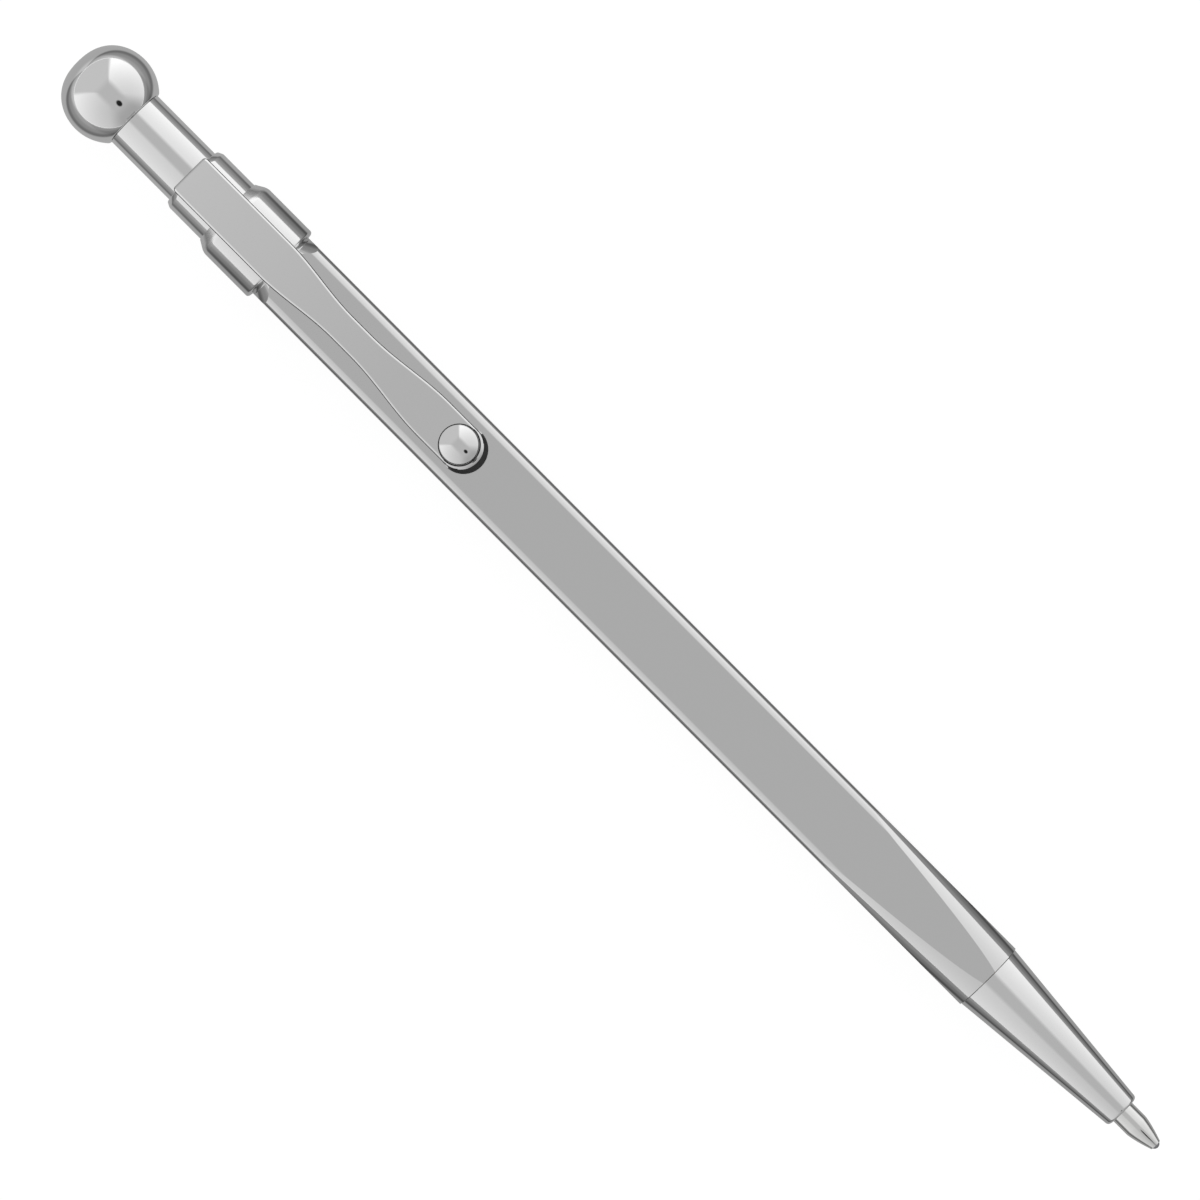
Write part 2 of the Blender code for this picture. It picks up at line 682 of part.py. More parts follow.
def make_refill():
    """The refill: vented end plug, tube, ink, flanged tip plug, nib and the ball it writes with."""
    plug_radius = tube_bore - SEAT_FIT
    vent = INK_BORE_DIAMETER / 2
    head_front = refill_rear + END_PLUG_HEAD
    plug = [
        (refill_rear, vent),
        (refill_rear, tube_radius),
        (head_front, tube_radius),
        (head_front, plug_radius),
        (refill_rear + END_PLUG_LENGTH, plug_radius),
        (refill_rear + END_PLUG_LENGTH, vent),
    ]
    place("refill_end_plug", turned(plug, INNER_SIDES), "white_plastic", "refill")
    body = tube(tube_rear, tube_front, tube_bore, tube_radius, INNER_SIDES)
    place("refill_tube", body, "tube_plastic", "refill")
    ink_rear = refill_rear + END_PLUG_LENGTH + INK_EMPTY_LENGTH
    ink = rod(ink_rear, tip_plug_rear - SEAT_FIT, plug_radius, INNER_SIDES)
    place("ink_column", ink, "ink", "refill")
    shank_radius = NIB_SHANK_DIAMETER / 2
    shank_hole = shank_radius + SEAT_FIT
    tip_plug = [
        (tip_plug_rear, shank_hole),
        (tip_plug_rear, plug_radius),
        (flange_rear, plug_radius),
        (flange_rear, tip_flange_radius),
        (spring_rear, tip_flange_radius),
        (spring_rear, shank_hole),
    ]
    place("tip_plug", turned(tip_plug, INNER_SIDES), "white_plastic", "refill")
    rim_inner = math.sqrt(socket_radius**2 - (socket_rim - ball_centre) ** 2)
    rim_outer = rim_inner + BALL_RIM_WALL
    taper_rear = tip - NIB_TAPER
    nib = [(tip_plug_rear, vent), (tip_plug_rear, shank_radius), (nib_shoulder, shank_radius)]
    nib.append((nib_shoulder, nib_radius))
    for ring in range(NIB_RINGS + 1):
        share = ring / NIB_RINGS
        station = taper_rear + (socket_rim - taper_rear) * share
        nib.append((station, nib_radius - (nib_radius - rim_outer) * share**NIB_TAPER_POWER_SHARE))
    rim_turn = math.atan2(rim_inner, socket_rim - ball_centre)
    bore_turn = math.pi - math.asin(vent / socket_radius)
    for ring in range(NIB_RINGS + 1):
        turn = rim_turn + (bore_turn - rim_turn) * ring / NIB_RINGS
        nib.append((ball_centre + socket_radius * math.cos(turn), socket_radius * math.sin(turn)))
    place("nib", turned(nib, INNER_SIDES), "nib_metal", "refill")
    place("writing_ball", sphere(ball_radius, (ball_centre, 0, 0), BALL_SIDES), "carbide", "ball")


def make_spring():
    """The return spring: one wire in even curls, with a short straight leg at each end."""
    leg = SPRING_WIRE_DIAMETER
    start = spring_rear + SEAT_FIT + leg
    end = spring_seat - SEAT_FIT - leg
    count = SPRING_CURLS * SPRING_POINTS_PER_CURL
    points = []
    for number in range(count + 1):
        turn = math.tau * number / SPRING_POINTS_PER_CURL
        station = start + (end - start) * number / count
        across = spring_coil_radius * math.sin(turn)
        up = spring_coil_radius * math.cos(turn)
        points.append(Vector((station, across, up)))
    far = SPRING_POINTS_PER_CURL - 2
    spacings = [(a - b).length for n, a in enumerate(points) for b in points[n + far :]]
    gap = min(spacings) - SPRING_WIRE_DIAMETER
    print(f"return spring: least gap to itself {gap * 1000:.2f} mm")
    along = Vector((leg, 0, 0))
    points = [points[0] - along] + points + [points[-1] + along]
    curve = bpy.data.curves.new("return_spring", "CURVE")
    curve.dimensions = "3D"
    curve.bevel_depth = spring_wire_radius
    curve.bevel_resolution = 1
    curve.use_fill_caps = True
    spline = curve.splines.new("POLY")
    spline.points.add(len(points) - 1)
    origin = Vector(GROUPS["nose_travel"][1])
    for spot, point in zip(spline.points, points):
        spot.co = (*(point - origin), 1)
    curve.materials.append(finishes["spring_steel"])
    spring = bpy.data.objects.new("return_spring", curve)
    bpy.context.scene.collection.objects.link(spring)
    spring.parent = groups["nose_travel"]


def ease(share):
    """A smooth step from 0 to 1."""
    return (1 - math.cos(math.pi * min(max(share, 0), 1))) / 2


def clip_half_width(place_along):
    """The clip's half width at a distance from its head: straight, waisted, then full again."""
    inward = ease((place_along - CLIP_HEAD_LENGTH) / (CLIP_WAIST_START - CLIP_HEAD_LENGTH))
    outward = ease((place_along - CLIP_WAIST_END) / (CLIP_END_START - CLIP_WAIST_END))
    width = CLIP_HEAD_WIDTH + (CLIP_WAIST_WIDTH - CLIP_HEAD_WIDTH) * inward
    width += (CLIP_END_WIDTH - CLIP_WAIST_WIDTH) * outward
    return width / 2


def clip_outline(draft):
    """One side of the clip's plan, from the head's corner to the tip, as (along, across)."""
    points = []
    for step in range(ROUND_STEPS + 1):
        turn = math.pi / 2 * step / ROUND_STEPS
        along = CLIP_CORNER_RADIUS * (1 - math.sin(turn))
        across = CLIP_HEAD_WIDTH / 2 - CLIP_CORNER_RADIUS * (1 - math.cos(turn))
        points.insert(0, (along, across))
    run = CLIP_END_START - CLIP_HEAD_LENGTH
    for step in range(CLIP_SIDE_STEPS + 1):
        along = CLIP_HEAD_LENGTH + run * step / CLIP_SIDE_STEPS
        points.append((along, clip_half_width(along)))
    radius = CLIP_END_WIDTH / 2
    for step in range(CORNER_SIDES + 1):
        turn = math.pi / 2 * (1 - step / CORNER_SIDES)
        reach = radius + draft * math.cos(turn)
        points.append((CLIP_BALL_PLACE + reach * math.cos(turn), reach * math.sin(turn)))
    return points


def upright(outline):
    """Spin (height, radius) points about the upright line through the clip's ball."""
    mesh = turned(outline, INNER_SIDES)
    bmesh.ops.rotate(
        mesh, verts=mesh.verts, cent=(0, 0, 0), matrix=Matrix.Rotation(-math.pi / 2, 3, "Y")
    )
    bmesh.ops.translate(mesh, verts=mesh.verts, vec=(clip_ball_station, 0, 0))
    return mesh


def ball_outline():
    """The clip's ball as (height, radius): a shallow belly, a shoulder and a low crown."""
    drop = clip_shoulder_height - clip_ball_bottom
    points = []
    for ring in range(DOME_RINGS + 1):
        turn = math.pi / 2 * ring / DOME_RINGS
        points.append((clip_shoulder_height - drop * math.cos(turn), clip_ball_radius * math.sin(turn)))
    for ring in range(1, DOME_RINGS + 1):
        turn = math.pi / 2 + (clip_crown_turn - math.pi / 2) * ring / DOME_RINGS
        height = clip_shoulder_height + CLIP_SHOULDER_RADIUS * math.cos(turn)
        offset = clip_ball_radius - CLIP_SHOULDER_RADIUS
        points.append((height, offset + CLIP_SHOULDER_RADIUS * math.sin(turn)))
    for ring in range(1, DOME_RINGS + 1):
        turn = clip_crown_turn * (1 - ring / DOME_RINGS)
        height = clip_crown_centre + CLIP_CROWN_RADIUS * math.cos(turn)
        points.append((height, CLIP_CROWN_RADIUS * math.sin(turn)))
    return points


def make_clip():
    """The sprung clip: a waisted plate with broken edges, a saddle foot, and a ball in its end."""
    mesh = bmesh.new()
    rings = []
    for height, draft in ((clip_under, CLIP_END_DRAFT), (clip_top, 0)):
        side = clip_outline(draft)
        whole = side + [(along, -across) for along, across in reversed(side[:-1])]
        rings.append([mesh.verts.new((clip_rear + along, across, height)) for along, across in whole])
    under, over = rings
    for here in range(len(under)):
        then = (here + 1) % len(under)
        mesh.faces.new((under[here], under[then], over[then], over[here]))
    mesh.faces.new(under)
    top = mesh.faces.new(over)
    bmesh.ops.recalc_face_normals(mesh, faces=mesh.faces)
    bmesh.ops.bevel(mesh, geom=list(top.edges), offset=CLIP_EDGE, segments=1, affect="EDGES")
    clip = place("clip", tidy(mesh), "polished_metal", "clip")
    half = CLIP_FOOT_WIDTH / 2
    foot_under = math.sqrt(clip_seat_radius**2 - half**2) + SEAT_FIT
    foot_height = clip_under + CLIP_THICKNESS / 2 - foot_under
    mesh = bmesh.new()
    bmesh.ops.create_cube(mesh, size=1)
    bmesh.ops.scale(mesh, verts=mesh.verts, vec=(CLIP_FOOT_LENGTH, CLIP_FOOT_WIDTH, foot_height))
    middle = bush_rear + CLIP_FOOT_LENGTH / 2
    bmesh.ops.translate(mesh, verts=mesh.verts, vec=(middle, 0, foot_under + foot_height / 2))
    combine(clip, place("clip_foot", mesh, "polished_metal", "clip", True), "UNION")
    saddle = rod(clip_rear - OVERRUN, band_rear, clip_seat_radius, OUTER_SIDES)
    combine(clip, place("clip_saddle", saddle, "polished_metal", "clip", True), "DIFFERENCE")
    seat_radius = clip_ball_radius + SEAT_FIT
    groove_radius = clip_ball_radius + CLIP_GROOVE_WIDTH
    groove_floor = clip_top - CLIP_GROOVE_DEPTH
    above = clip_top + OVERRUN
    seat = [
        (barrel_half_width, 0),
        (barrel_half_width, seat_radius),
        (groove_floor, seat_radius),
        (groove_floor, groove_radius),
        (above, groove_radius),
        (above, 0),
    ]
    combine(clip, place("clip_ball_seat", upright(seat), "polished_metal", "clip", True), "DIFFERENCE")
    place("clip_ball", upright(ball_outline()), "polished_metal", "clip")


clear_scene()
finishes = make_finishes()
groups = make_groups()
make_knob()
make_plunger()
make_guide_sleeve()
make_rotor()
make_barrel()
make_head()
make_nose()
make_refill()
make_spring()
make_clip()
print(f"pen length {tip * 1000:.1f} mm, barrel {barrel_half_width * 2000:.2f} mm across its flats")
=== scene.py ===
# %% [markdown]
# # A pocket ballpoint pen in polished metal
# This pen clicks: a ball knob on a stem pushes a slim refill in and out of a square barrel.
# The CAD model already holds every piece at its true size, so this script gives twelve of
# them a finer surface, and every piece a finish. Nothing here changes a size.

# %% Load the pen
import math

import bpy
from mathutils import Matrix, Vector


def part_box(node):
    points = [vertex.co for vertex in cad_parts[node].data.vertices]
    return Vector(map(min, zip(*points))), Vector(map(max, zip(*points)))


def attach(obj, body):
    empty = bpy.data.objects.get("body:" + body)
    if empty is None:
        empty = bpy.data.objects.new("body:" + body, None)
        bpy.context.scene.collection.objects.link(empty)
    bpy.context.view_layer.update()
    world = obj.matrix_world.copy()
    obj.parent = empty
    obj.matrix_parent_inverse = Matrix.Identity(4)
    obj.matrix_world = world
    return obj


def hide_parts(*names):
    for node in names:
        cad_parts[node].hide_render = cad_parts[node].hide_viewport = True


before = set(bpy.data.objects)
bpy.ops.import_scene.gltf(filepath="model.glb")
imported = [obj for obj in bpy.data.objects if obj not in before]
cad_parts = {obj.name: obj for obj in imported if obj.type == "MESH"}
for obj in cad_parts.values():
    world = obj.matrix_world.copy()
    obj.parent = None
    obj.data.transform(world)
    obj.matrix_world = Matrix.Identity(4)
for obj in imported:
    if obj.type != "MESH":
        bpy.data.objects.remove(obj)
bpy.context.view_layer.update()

# %% [markdown]
# ## The pen's own measures
# A lathe hand measures a pen from one end. Here a station is the distance from the back of the
# knob, in metres, and a radius is the distance from the axis. The frame puts its origin below
# the middle of the pen, so one small function turns a station into a place. A seam is the
# clearance left where two pieces meet.

# %% Stations and radii
pen_length = 0.13705243
axis_height = 0.0044
SEAM = 0.00005
QUARTER = math.radians(90)


def place(station, radius=0.0, across=0.0):
    """A point of the frame, from a station along the pen, a height and a distance across."""
    return Vector((station - pen_length / 2, across, axis_height + radius))


def evenly(first, last, count):
    """Evenly spaced values from the first to the last."""
    return [first + (last - first) * step / count for step in range(count + 1)]


knob_neck_end = 0.00716243
bush_rear = 0.01455243
band_rear = 0.01901243
barrel_rear = 0.02080243
stem_front = 0.02245243
band_front = 0.02565243
nose_joint = 0.11542243
nose_front = 0.13252243
barrel_half_width = 0.0035
print("place of the nose joint:", place(nose_joint))

# %% [markdown]
# ## The camera
# The photograph looks straight down on the pen from far off, so a long lens is hung high above
# it and turned until the pen runs from the upper left to the lower right. A long lens keeps
# the barrel's two edges parallel, as they are in the photograph.

# %% Camera
LENS, SENSOR = 250.0, 36.0
FRAME_WIDTH = 0.1074
FRAME_MIDDLE = (-0.001425, -0.00085)
FRAME_TURN = 45.146
data = bpy.data.cameras.new("camera")
data.lens = LENS
data.sensor_width = SENSOR
camera = bpy.data.objects.new("camera", data)
bpy.context.scene.collection.objects.link(camera)
camera_distance = FRAME_WIDTH * LENS / SENSOR
camera.location = (*FRAME_MIDDLE, axis_height + camera_distance)
camera.rotation_euler = (0.0, 0.0, math.radians(FRAME_TURN))
data.clip_start = 0.01
bpy.context.scene.camera = camera
bpy.context.scene.view_settings.view_transform = "Standard"
print("camera height above the axis:", round(camera_distance, 3))

# %% [markdown]
# ## Wiring nodes
# A shader is a small sum written with boxes and wires. These helpers add one box at a time: a
# value goes straight on a socket, and an output of another box is wired to it. They are used
# for the studio's light, the floor and every finish below.


# %% Node helpers
def set_or_wire(tree, socket, value):
    """Put a value on a socket, or wire another node's output to it."""
    if isinstance(value, bpy.types.NodeSocket):
        tree.links.new(value, socket)
    elif value is not None:
        socket.default_value = value


def sum_node(tree, operation, *values, clamp=False):
    """One Math node, such as ADD or DIVIDE, and its result."""
    node = tree.nodes.new("ShaderNodeMath")
    node.operation = operation
    node.use_clamp = clamp
    for socket, value in zip(node.inputs, values):
        set_or_wire(tree, socket, value)
    return node.outputs[0]


def step_node(tree, value, start, end, low=0.0, high=1.0, smooth=True):
    """A value that runs from low to high while its input goes from start to end."""
    node = tree.nodes.new("ShaderNodeMapRange")
    node.interpolation_type = "SMOOTHSTEP" if smooth else "LINEAR"
    for name, part in (("Value", value), ("From Min", start), ("From Max", end)):
        set_or_wire(tree, node.inputs[name], part)
    set_or_wire(tree, node.inputs["To Min"], low)
    set_or_wire(tree, node.inputs["To Max"], high)
    return node.outputs[0]


def blend_node(tree, share, first, second):
    """A value between two others."""
    node = tree.nodes.new("ShaderNodeMix")
    set_or_wire(tree, node.inputs["Factor"], share)
    set_or_wire(tree, node.inputs["A"], first)
    set_or_wire(tree, node.inputs["B"], second)
    return node.outputs["Result"]


# %% Place and noise nodes
def place_node(tree):
    """The X, Y and Z of a point on the piece, in metres of the frame."""
    spot = tree.nodes.new("ShaderNodeSeparateXYZ")
    tree.links.new(tree.nodes.new("ShaderNodeTexCoord").outputs["Object"], spot.inputs[0])
    return spot.outputs


def noise_node(tree, spot, scale, detail=None):
    """A noise, read at a place."""
    noise = tree.nodes.new("ShaderNodeTexNoise")
    set_or_wire(tree, noise.inputs["Scale"], scale)
    set_or_wire(tree, noise.inputs["Detail"], detail)
    tree.links.new(spot, noise.inputs["Vector"])
    return noise.outputs["Fac"]


# %% [markdown]
# ## The studio's light
# Polished metal has almost no colour of its own: it shows the room. In the photograph each
# round piece shows a grey stripe along its middle, with a bright flank on each side and grey
# towards its ends. So the room is a grey ceiling strip along the pen with a large soft light
# on each side of it, brighter behind the knob than in front of the tip. The world is painted
# that way by direction, which every reflection then reads.

# %% The room's directions
TINY = 0.001
world = bpy.data.worlds.new("studio")
bpy.context.scene.world = world
world.use_nodes = True
room = world.node_tree
room.nodes.clear()
direction = room.nodes.new("ShaderNodeTexCoord").outputs["Generated"]
parts = room.nodes.new("ShaderNodeSeparateXYZ")
room.links.new(direction, parts.inputs[0])
along, sideways, up = parts.outputs
reach_along = sum_node(room, "ABSOLUTE", along)
reach_sideways = sum_node(room, "ABSOLUTE", sideways)
height = sum_node(room, "MAXIMUM", up, TINY)
lean = sum_node(room, "DIVIDE", reach_sideways, height)
wedge = sum_node(room, "DIVIDE", reach_sideways, sum_node(room, "MAXIMUM", reach_along, TINY))
print("a direction is split in", len(parts.outputs), "parts")

# %% Side lights and ceiling strip
LIGHT_LEAN = (0.22, 0.54)
REAR_WEDGE, FRONT_WEDGE = (0.85, 1.15), (0.25, 1.05)
LIGHT_RISE = (0.0, 0.85)
RIGHT_LIGHT, LEFT_LIGHT = (1.03, 0.82), (0.82, 0.69)
FADE = (-0.6, 0.8, 1.18, 0.76)
CEILING_GREY = 0.512
REAR_GREY, FRONT_GREY = (-0.2, -0.5, 0.0, 0.085), (0.6, 0.95, 0.0, -0.11)
in_lobe = step_node(room, lean, *LIGHT_LEAN)
rear_wedge = step_node(room, wedge, *REAR_WEDGE)
front_wedge = step_node(room, wedge, *FRONT_WEDGE)
ahead = step_node(room, along, -0.02, 0.02)
in_wedge = blend_node(room, ahead, rear_wedge, front_wedge)
right_light = step_node(room, up, *LIGHT_RISE, *RIGHT_LIGHT, smooth=False)
left_light = step_node(room, up, *LIGHT_RISE, *LEFT_LIGHT, smooth=False)
side = step_node(room, sideways, -0.05, 0.05)
fade = step_node(room, along, *FADE, smooth=False)
light = sum_node(room, "MULTIPLY", blend_node(room, side, left_light, right_light), fade)
rear_grey = step_node(room, along, *REAR_GREY)
front_grey = step_node(room, along, *FRONT_GREY)
grey = sum_node(room, "ADD", CEILING_GREY, sum_node(room, "ADD", rear_grey, front_grey))
value = blend_node(room, sum_node(room, "MULTIPLY", in_lobe, in_wedge), grey, light)
print("the strip is grey up to a lean of", LIGHT_LEAN[0])

# %% [markdown]
# ## The black spark
# The knob, the clip's ball and the nib each show one black spark, a little towards the tip. A
# spot painted on them would stay where it is when the pen turns, so there is a long dark hole
# in the ceiling instead, which all three mirror.

# %% Dark hole in the ceiling
HOLE_FORWARD, HOLE_LENGTH, HOLE_WIDTH = 0.74, 0.22, 0.12
HOLE_EDGE, HOLE_DARK = (0.6, 1.6), 0.03
forward = sum_node(room, "DIVIDE", along, height)
forward = sum_node(room, "SUBTRACT", forward, HOLE_FORWARD)
forward = sum_node(room, "DIVIDE", forward, HOLE_LENGTH)
across = sum_node(room, "DIVIDE", lean, HOLE_WIDTH)
from_hole = sum_node(
    room, "ADD", sum_node(room, "POWER", forward, 2.0), sum_node(room, "POWER", across, 2.0)
)
hole = step_node(room, from_hole, *HOLE_EDGE, HOLE_DARK, 1.0)
shine = room.nodes.new("ShaderNodeBackground")
room.links.new(sum_node(room, "MULTIPLY", value, hole), shine.inputs["Color"])
shine.inputs["Strength"].default_value = 1.0
room.links.new(shine.outputs[0], room.nodes.new("ShaderNodeOutputWorld").inputs["Surface"])
print("the room has", len(room.nodes), "nodes")

# %% [markdown]
# ## The floor
# The pen lies on a white table. Part of the floor's white comes from the room's light and the
# rest is its own glow, so the page stays white while the pen still throws a pale shadow. The
# photograph's metal is dark low down, as if it mirrored something greyer than the page close
# beside it. So a grey card that only reflections can see lies just above the floor here.


# %% Sheets and empty materials
def new_material(name):
    """An empty node material and its Principled shader."""
    material = bpy.data.materials.new(name)
    material.use_nodes = True
    return material, material.node_tree, material.node_tree.nodes["Principled BSDF"]


def lay_plane(name, size, drop, material):
    """A flat sheet under the pen."""
    bpy.ops.object.select_all(action="DESELECT")
    bpy.ops.mesh.primitive_plane_add(size=size, location=(0, 0, -drop))
    sheet = bpy.context.object
    sheet.name = name
    bpy.ops.object.transform_apply(location=True, rotation=True, scale=True)
    sheet.data.materials.append(material)
    print(name, "lies", drop, "below the pen")
    return sheet


# %% White table
FLOOR_GLOW, FLOOR_GREY = 0.90, 0.20
TABLE_SIZE, TABLE_DROP = 4.0, 0.0003
white, tree, shader = new_material("white_table")
shader.inputs["Base Color"].default_value = (FLOOR_GREY, FLOOR_GREY, FLOOR_GREY, 1)
shader.inputs["Roughness"].default_value = 0.9
shader.inputs["Specular IOR Level"].default_value = 0.0
rays = tree.nodes.new("ShaderNodeLightPath").outputs
seen = sum_node(tree, "ADD", rays["Is Camera Ray"], rays["Is Glossy Ray"])
seen = sum_node(tree, "ADD", seen, rays["Is Transmission Ray"], clamp=True)
shader.inputs["Emission Color"].default_value = (1, 1, 1, 1)
glow = sum_node(tree, "MULTIPLY", seen, FLOOR_GLOW)
tree.links.new(glow, shader.inputs["Emission Strength"])
lay_plane("table", TABLE_SIZE, TABLE_DROP, white)

# %% Grey card
CARD_SIZE, CARD_DROP = 0.7, 0.00015
CARD_MIDDLE = (0.0088, 0.0117, 0.34, 0.085)
CARD_SIDES = ((0.0125, 0.019, 0.11), (0.018, 0.045, 0.10), (0.06, 0.2, 0.15))
CARD_REAR = ((-0.045, -0.055, 0.08), (-0.083, -0.105, 0.16))
card_grey, tree, shader = new_material("grey_card")
shader.inputs["Base Color"].default_value = (0, 0, 0, 1)
shader.inputs["Specular IOR Level"].default_value = 0.0
spot = place_node(tree)
away = sum_node(tree, "ABSOLUTE", spot["Y"])
level = step_node(tree, away, *CARD_MIDDLE)
for reach, rises in ((away, CARD_SIDES), (spot["X"], CARD_REAR)):
    for start, end, rise in rises:
        level = sum_node(tree, "ADD", level, step_node(tree, reach, start, end, 0.0, rise))
tree.links.new(level, shader.inputs["Emission Color"])
shader.inputs["Emission Strength"].default_value = 1.0
card = lay_plane("card", CARD_SIZE, CARD_DROP, card_grey)
for sight in ("visible_camera", "visible_diffuse", "visible_transmission", "visible_shadow"):
    setattr(card, sight, False)

# %% [markdown]
# ## Shaping by hand
# Most of this pen is turned work: on a lathe a tool follows an outline while the bar spins. In
# Blender the same piece is one point, pulled along the outline in steps, then spun about the
# pen's axis. The helpers below do what the hand does with the mouse: pick points by their
# place, pull, round over, spin and close.

# %% Picking points
NEAR = 1e-7


def choose(piece):
    """Make one piece the only one that is selected, and the active one."""
    bpy.ops.object.select_all(action="DESELECT")
    piece.select_set(True)
    bpy.context.view_layer.objects.active = piece


def pick(piece, test):
    """Enter edit mode with only the points that pass the test selected."""
    if piece.mode != "EDIT":
        choose(piece)
        bpy.ops.object.mode_set(mode="EDIT")
    bpy.ops.mesh.select_mode(type="VERT")
    bpy.ops.mesh.select_all(action="DESELECT")
    bpy.ops.object.mode_set(mode="OBJECT")
    for point in piece.data.vertices:
        point.select = test(point.co)
    bpy.ops.object.mode_set(mode="EDIT")


def close_up(piece, merge=NEAR):
    """Merge doubled points, face everything outwards and leave edit mode."""
    pick(piece, lambda point: True)
    bpy.ops.mesh.remove_doubles(threshold=merge)
    bpy.ops.mesh.normals_make_consistent(inside=False)
    bpy.ops.object.mode_set(mode="OBJECT")


# %% Drawing outlines
def start_point(name, spot):
    """One point, made from a small plane merged at its centre."""
    bpy.ops.object.select_all(action="DESELECT")
    bpy.ops.mesh.primitive_plane_add(size=0.001, location=(0, 0, 0))
    piece = bpy.context.object
    piece.name = name
    bpy.ops.object.mode_set(mode="EDIT")
    bpy.ops.mesh.select_all(action="SELECT")
    bpy.ops.mesh.merge(type="CENTER")
    bpy.ops.transform.translate(value=spot)
    return piece


def draw_spots(name, spots, closed=False):
    """Pull one point along a row of spots, and close the row if asked."""
    piece = start_point(name, spots[0])
    for here, there in zip(spots, spots[1:]):
        bpy.ops.mesh.extrude_region_move(TRANSFORM_OT_translate={"value": there - here})
    if closed:
        ends = (spots[0], spots[-1])
        pick(piece, lambda point: min((point - end).length for end in ends) < NEAR)
        bpy.ops.mesh.edge_face_add()
    return piece


def draw_outline(name, outline, closed=False):
    """Pull one point along (station, radius) pairs."""
    return draw_spots(name, [place(station, radius) for station, radius in outline], closed)


def rod_outline(start, end, radius):
    """The outline of a plain rod, to cut a bore or a seat with."""
    return [(start, 0), (start, radius), (end, radius), (end, 0)]


# %% Rounding and spinning
def round_corners(piece, corners, radius, steps=4):
    """Round an outline at the given (station, radius) corners, before it is spun."""
    spots = [place(station, height) for station, height in corners]
    pick(piece, lambda point: min((point - spot).length for spot in spots) < NEAR)
    bpy.ops.mesh.bevel(offset=radius, segments=steps, affect="VERTICES")


def spin_round(piece, sides=128, centre=None, axis=(1, 0, 0)):
    """Spin the outline into a closed solid, about the pen's axis or another."""
    pick(piece, lambda point: True)
    centre = centre or (0, 0, axis_height)
    bpy.ops.mesh.spin(steps=sides, angle=math.tau, center=centre, axis=axis)
    close_up(piece)


# %% Finishing a piece
def finish_piece(piece, body, material, slot, *nodes, sharp=30.0):
    """Shade a piece, give it its finish, and let it stand for its CAD nodes."""
    choose(piece)
    bpy.ops.object.shade_smooth_by_angle(angle=math.radians(sharp))
    piece.data.materials.clear()
    piece.data.materials.append(material)
    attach(piece, body)
    if nodes:
        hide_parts(*nodes)
    print(f"{piece.name}: {len(piece.data.polygons)} faces, rides on {body}")


# %% [markdown]
# ## Finishes with a skin
# No real surface is quite even. A node group holds such a skin once, and each material places
# it with its own values. Both groups here work the same way: something wanders over the
# surface and is added to the roughness, and a fine grain makes a very shallow bump.

# %% Skin helpers
GRAIN_DEPTH = 0.00001


def new_group(name, inputs):
    """A node group with number inputs, that will give a roughness and a normal."""
    group = bpy.data.node_groups.new(name, "ShaderNodeTree")
    sockets = group.interface
    for title, default in inputs.items():
        socket = sockets.new_socket(title, in_out="INPUT", socket_type="NodeSocketFloat")
        socket.default_value = default
    for title, kind in (("Roughness", "NodeSocketFloat"), ("Normal", "NodeSocketVector")):
        sockets.new_socket(title, in_out="OUTPUT", socket_type=kind)
    given = group.nodes.new("NodeGroupInput").outputs
    wanted = group.nodes.new("NodeGroupOutput").inputs
    spot = group.nodes.new("ShaderNodeTexCoord").outputs["Object"]
    return group, given, wanted, spot


def fill_group(group, given, wanted, wander, grain):
    """Add the wander to the roughness, and turn the grain into a bump."""
    rough = sum_node(group, "ADD", given["Roughness"], wander)
    group.links.new(rough, wanted["Roughness"])
    bump = group.nodes.new("ShaderNodeBump")
    bump.inputs["Distance"].default_value = GRAIN_DEPTH
    group.links.new(given["Depth"], bump.inputs["Strength"])
    group.links.new(grain, bump.inputs["Height"])
    group.links.new(bump.outputs[0], wanted["Normal"])
    print("the group", group.name, "has", len(group.nodes), "nodes")


# %% A material with a skin
def skinned(name, colour, metallic, group, values):
    """A material whose roughness and normal come from a group with these values."""
    material, tree, shader = new_material(name)
    shader.inputs["Base Color"].default_value = (*colour, 1)
    shader.inputs["Metallic"].default_value = metallic
    skin = tree.nodes.new("ShaderNodeGroup")
    skin.node_tree = group
    for title, value in values.items():
        skin.inputs[title].default_value = value
    for title in ("Roughness", "Normal"):
        tree.links.new(skin.outputs[title], shader.inputs[title])
    print(f"{name}: roughness {values['Roughness']}")
    return material


# %% [markdown]
# ## Metal finishes
# Polishing leaves lines too fine to see one by one. They run round a turned piece and along a
# drawn one, and they blur a reflection a little in that way. So a noise stretched along the
# lay gives the lines, and a second, slow noise stands for where fingers have dulled the shine.

# %% The polish group
LINE_DETAIL = 3.0
SMEAR_SCALE, SMEAR_DETAIL, SMEAR_EDGE = 160.0, 4.0, (0.42, 0.72)
polish, given, wanted, spot = new_group(
    "polish_lines",
    {"Around": 300.0, "Along": 9000.0, "Roughness": 0.06, "Dulling": 0.03, "Depth": 0.02},
)
lay = polish.nodes.new("ShaderNodeCombineXYZ")
for socket, source in zip(lay.inputs, ("Along", "Around", "Around")):
    polish.links.new(given[source], socket)
stretched = polish.nodes.new("ShaderNodeVectorMath")
stretched.operation = "MULTIPLY"
polish.links.new(spot, stretched.inputs[0])
polish.links.new(lay.outputs[0], stretched.inputs[1])
lines = noise_node(polish, stretched.outputs[0], 1.0, LINE_DETAIL)
smears = noise_node(polish, spot, SMEAR_SCALE, SMEAR_DETAIL)
dull = step_node(polish, smears, *SMEAR_EDGE)
dull = sum_node(polish, "MULTIPLY", dull, given["Dulling"])
fine = sum_node(polish, "MULTIPLY", lines, given["Dulling"])
fill_group(polish, given, wanted, sum_node(polish, "ADD", dull, fine), lines)


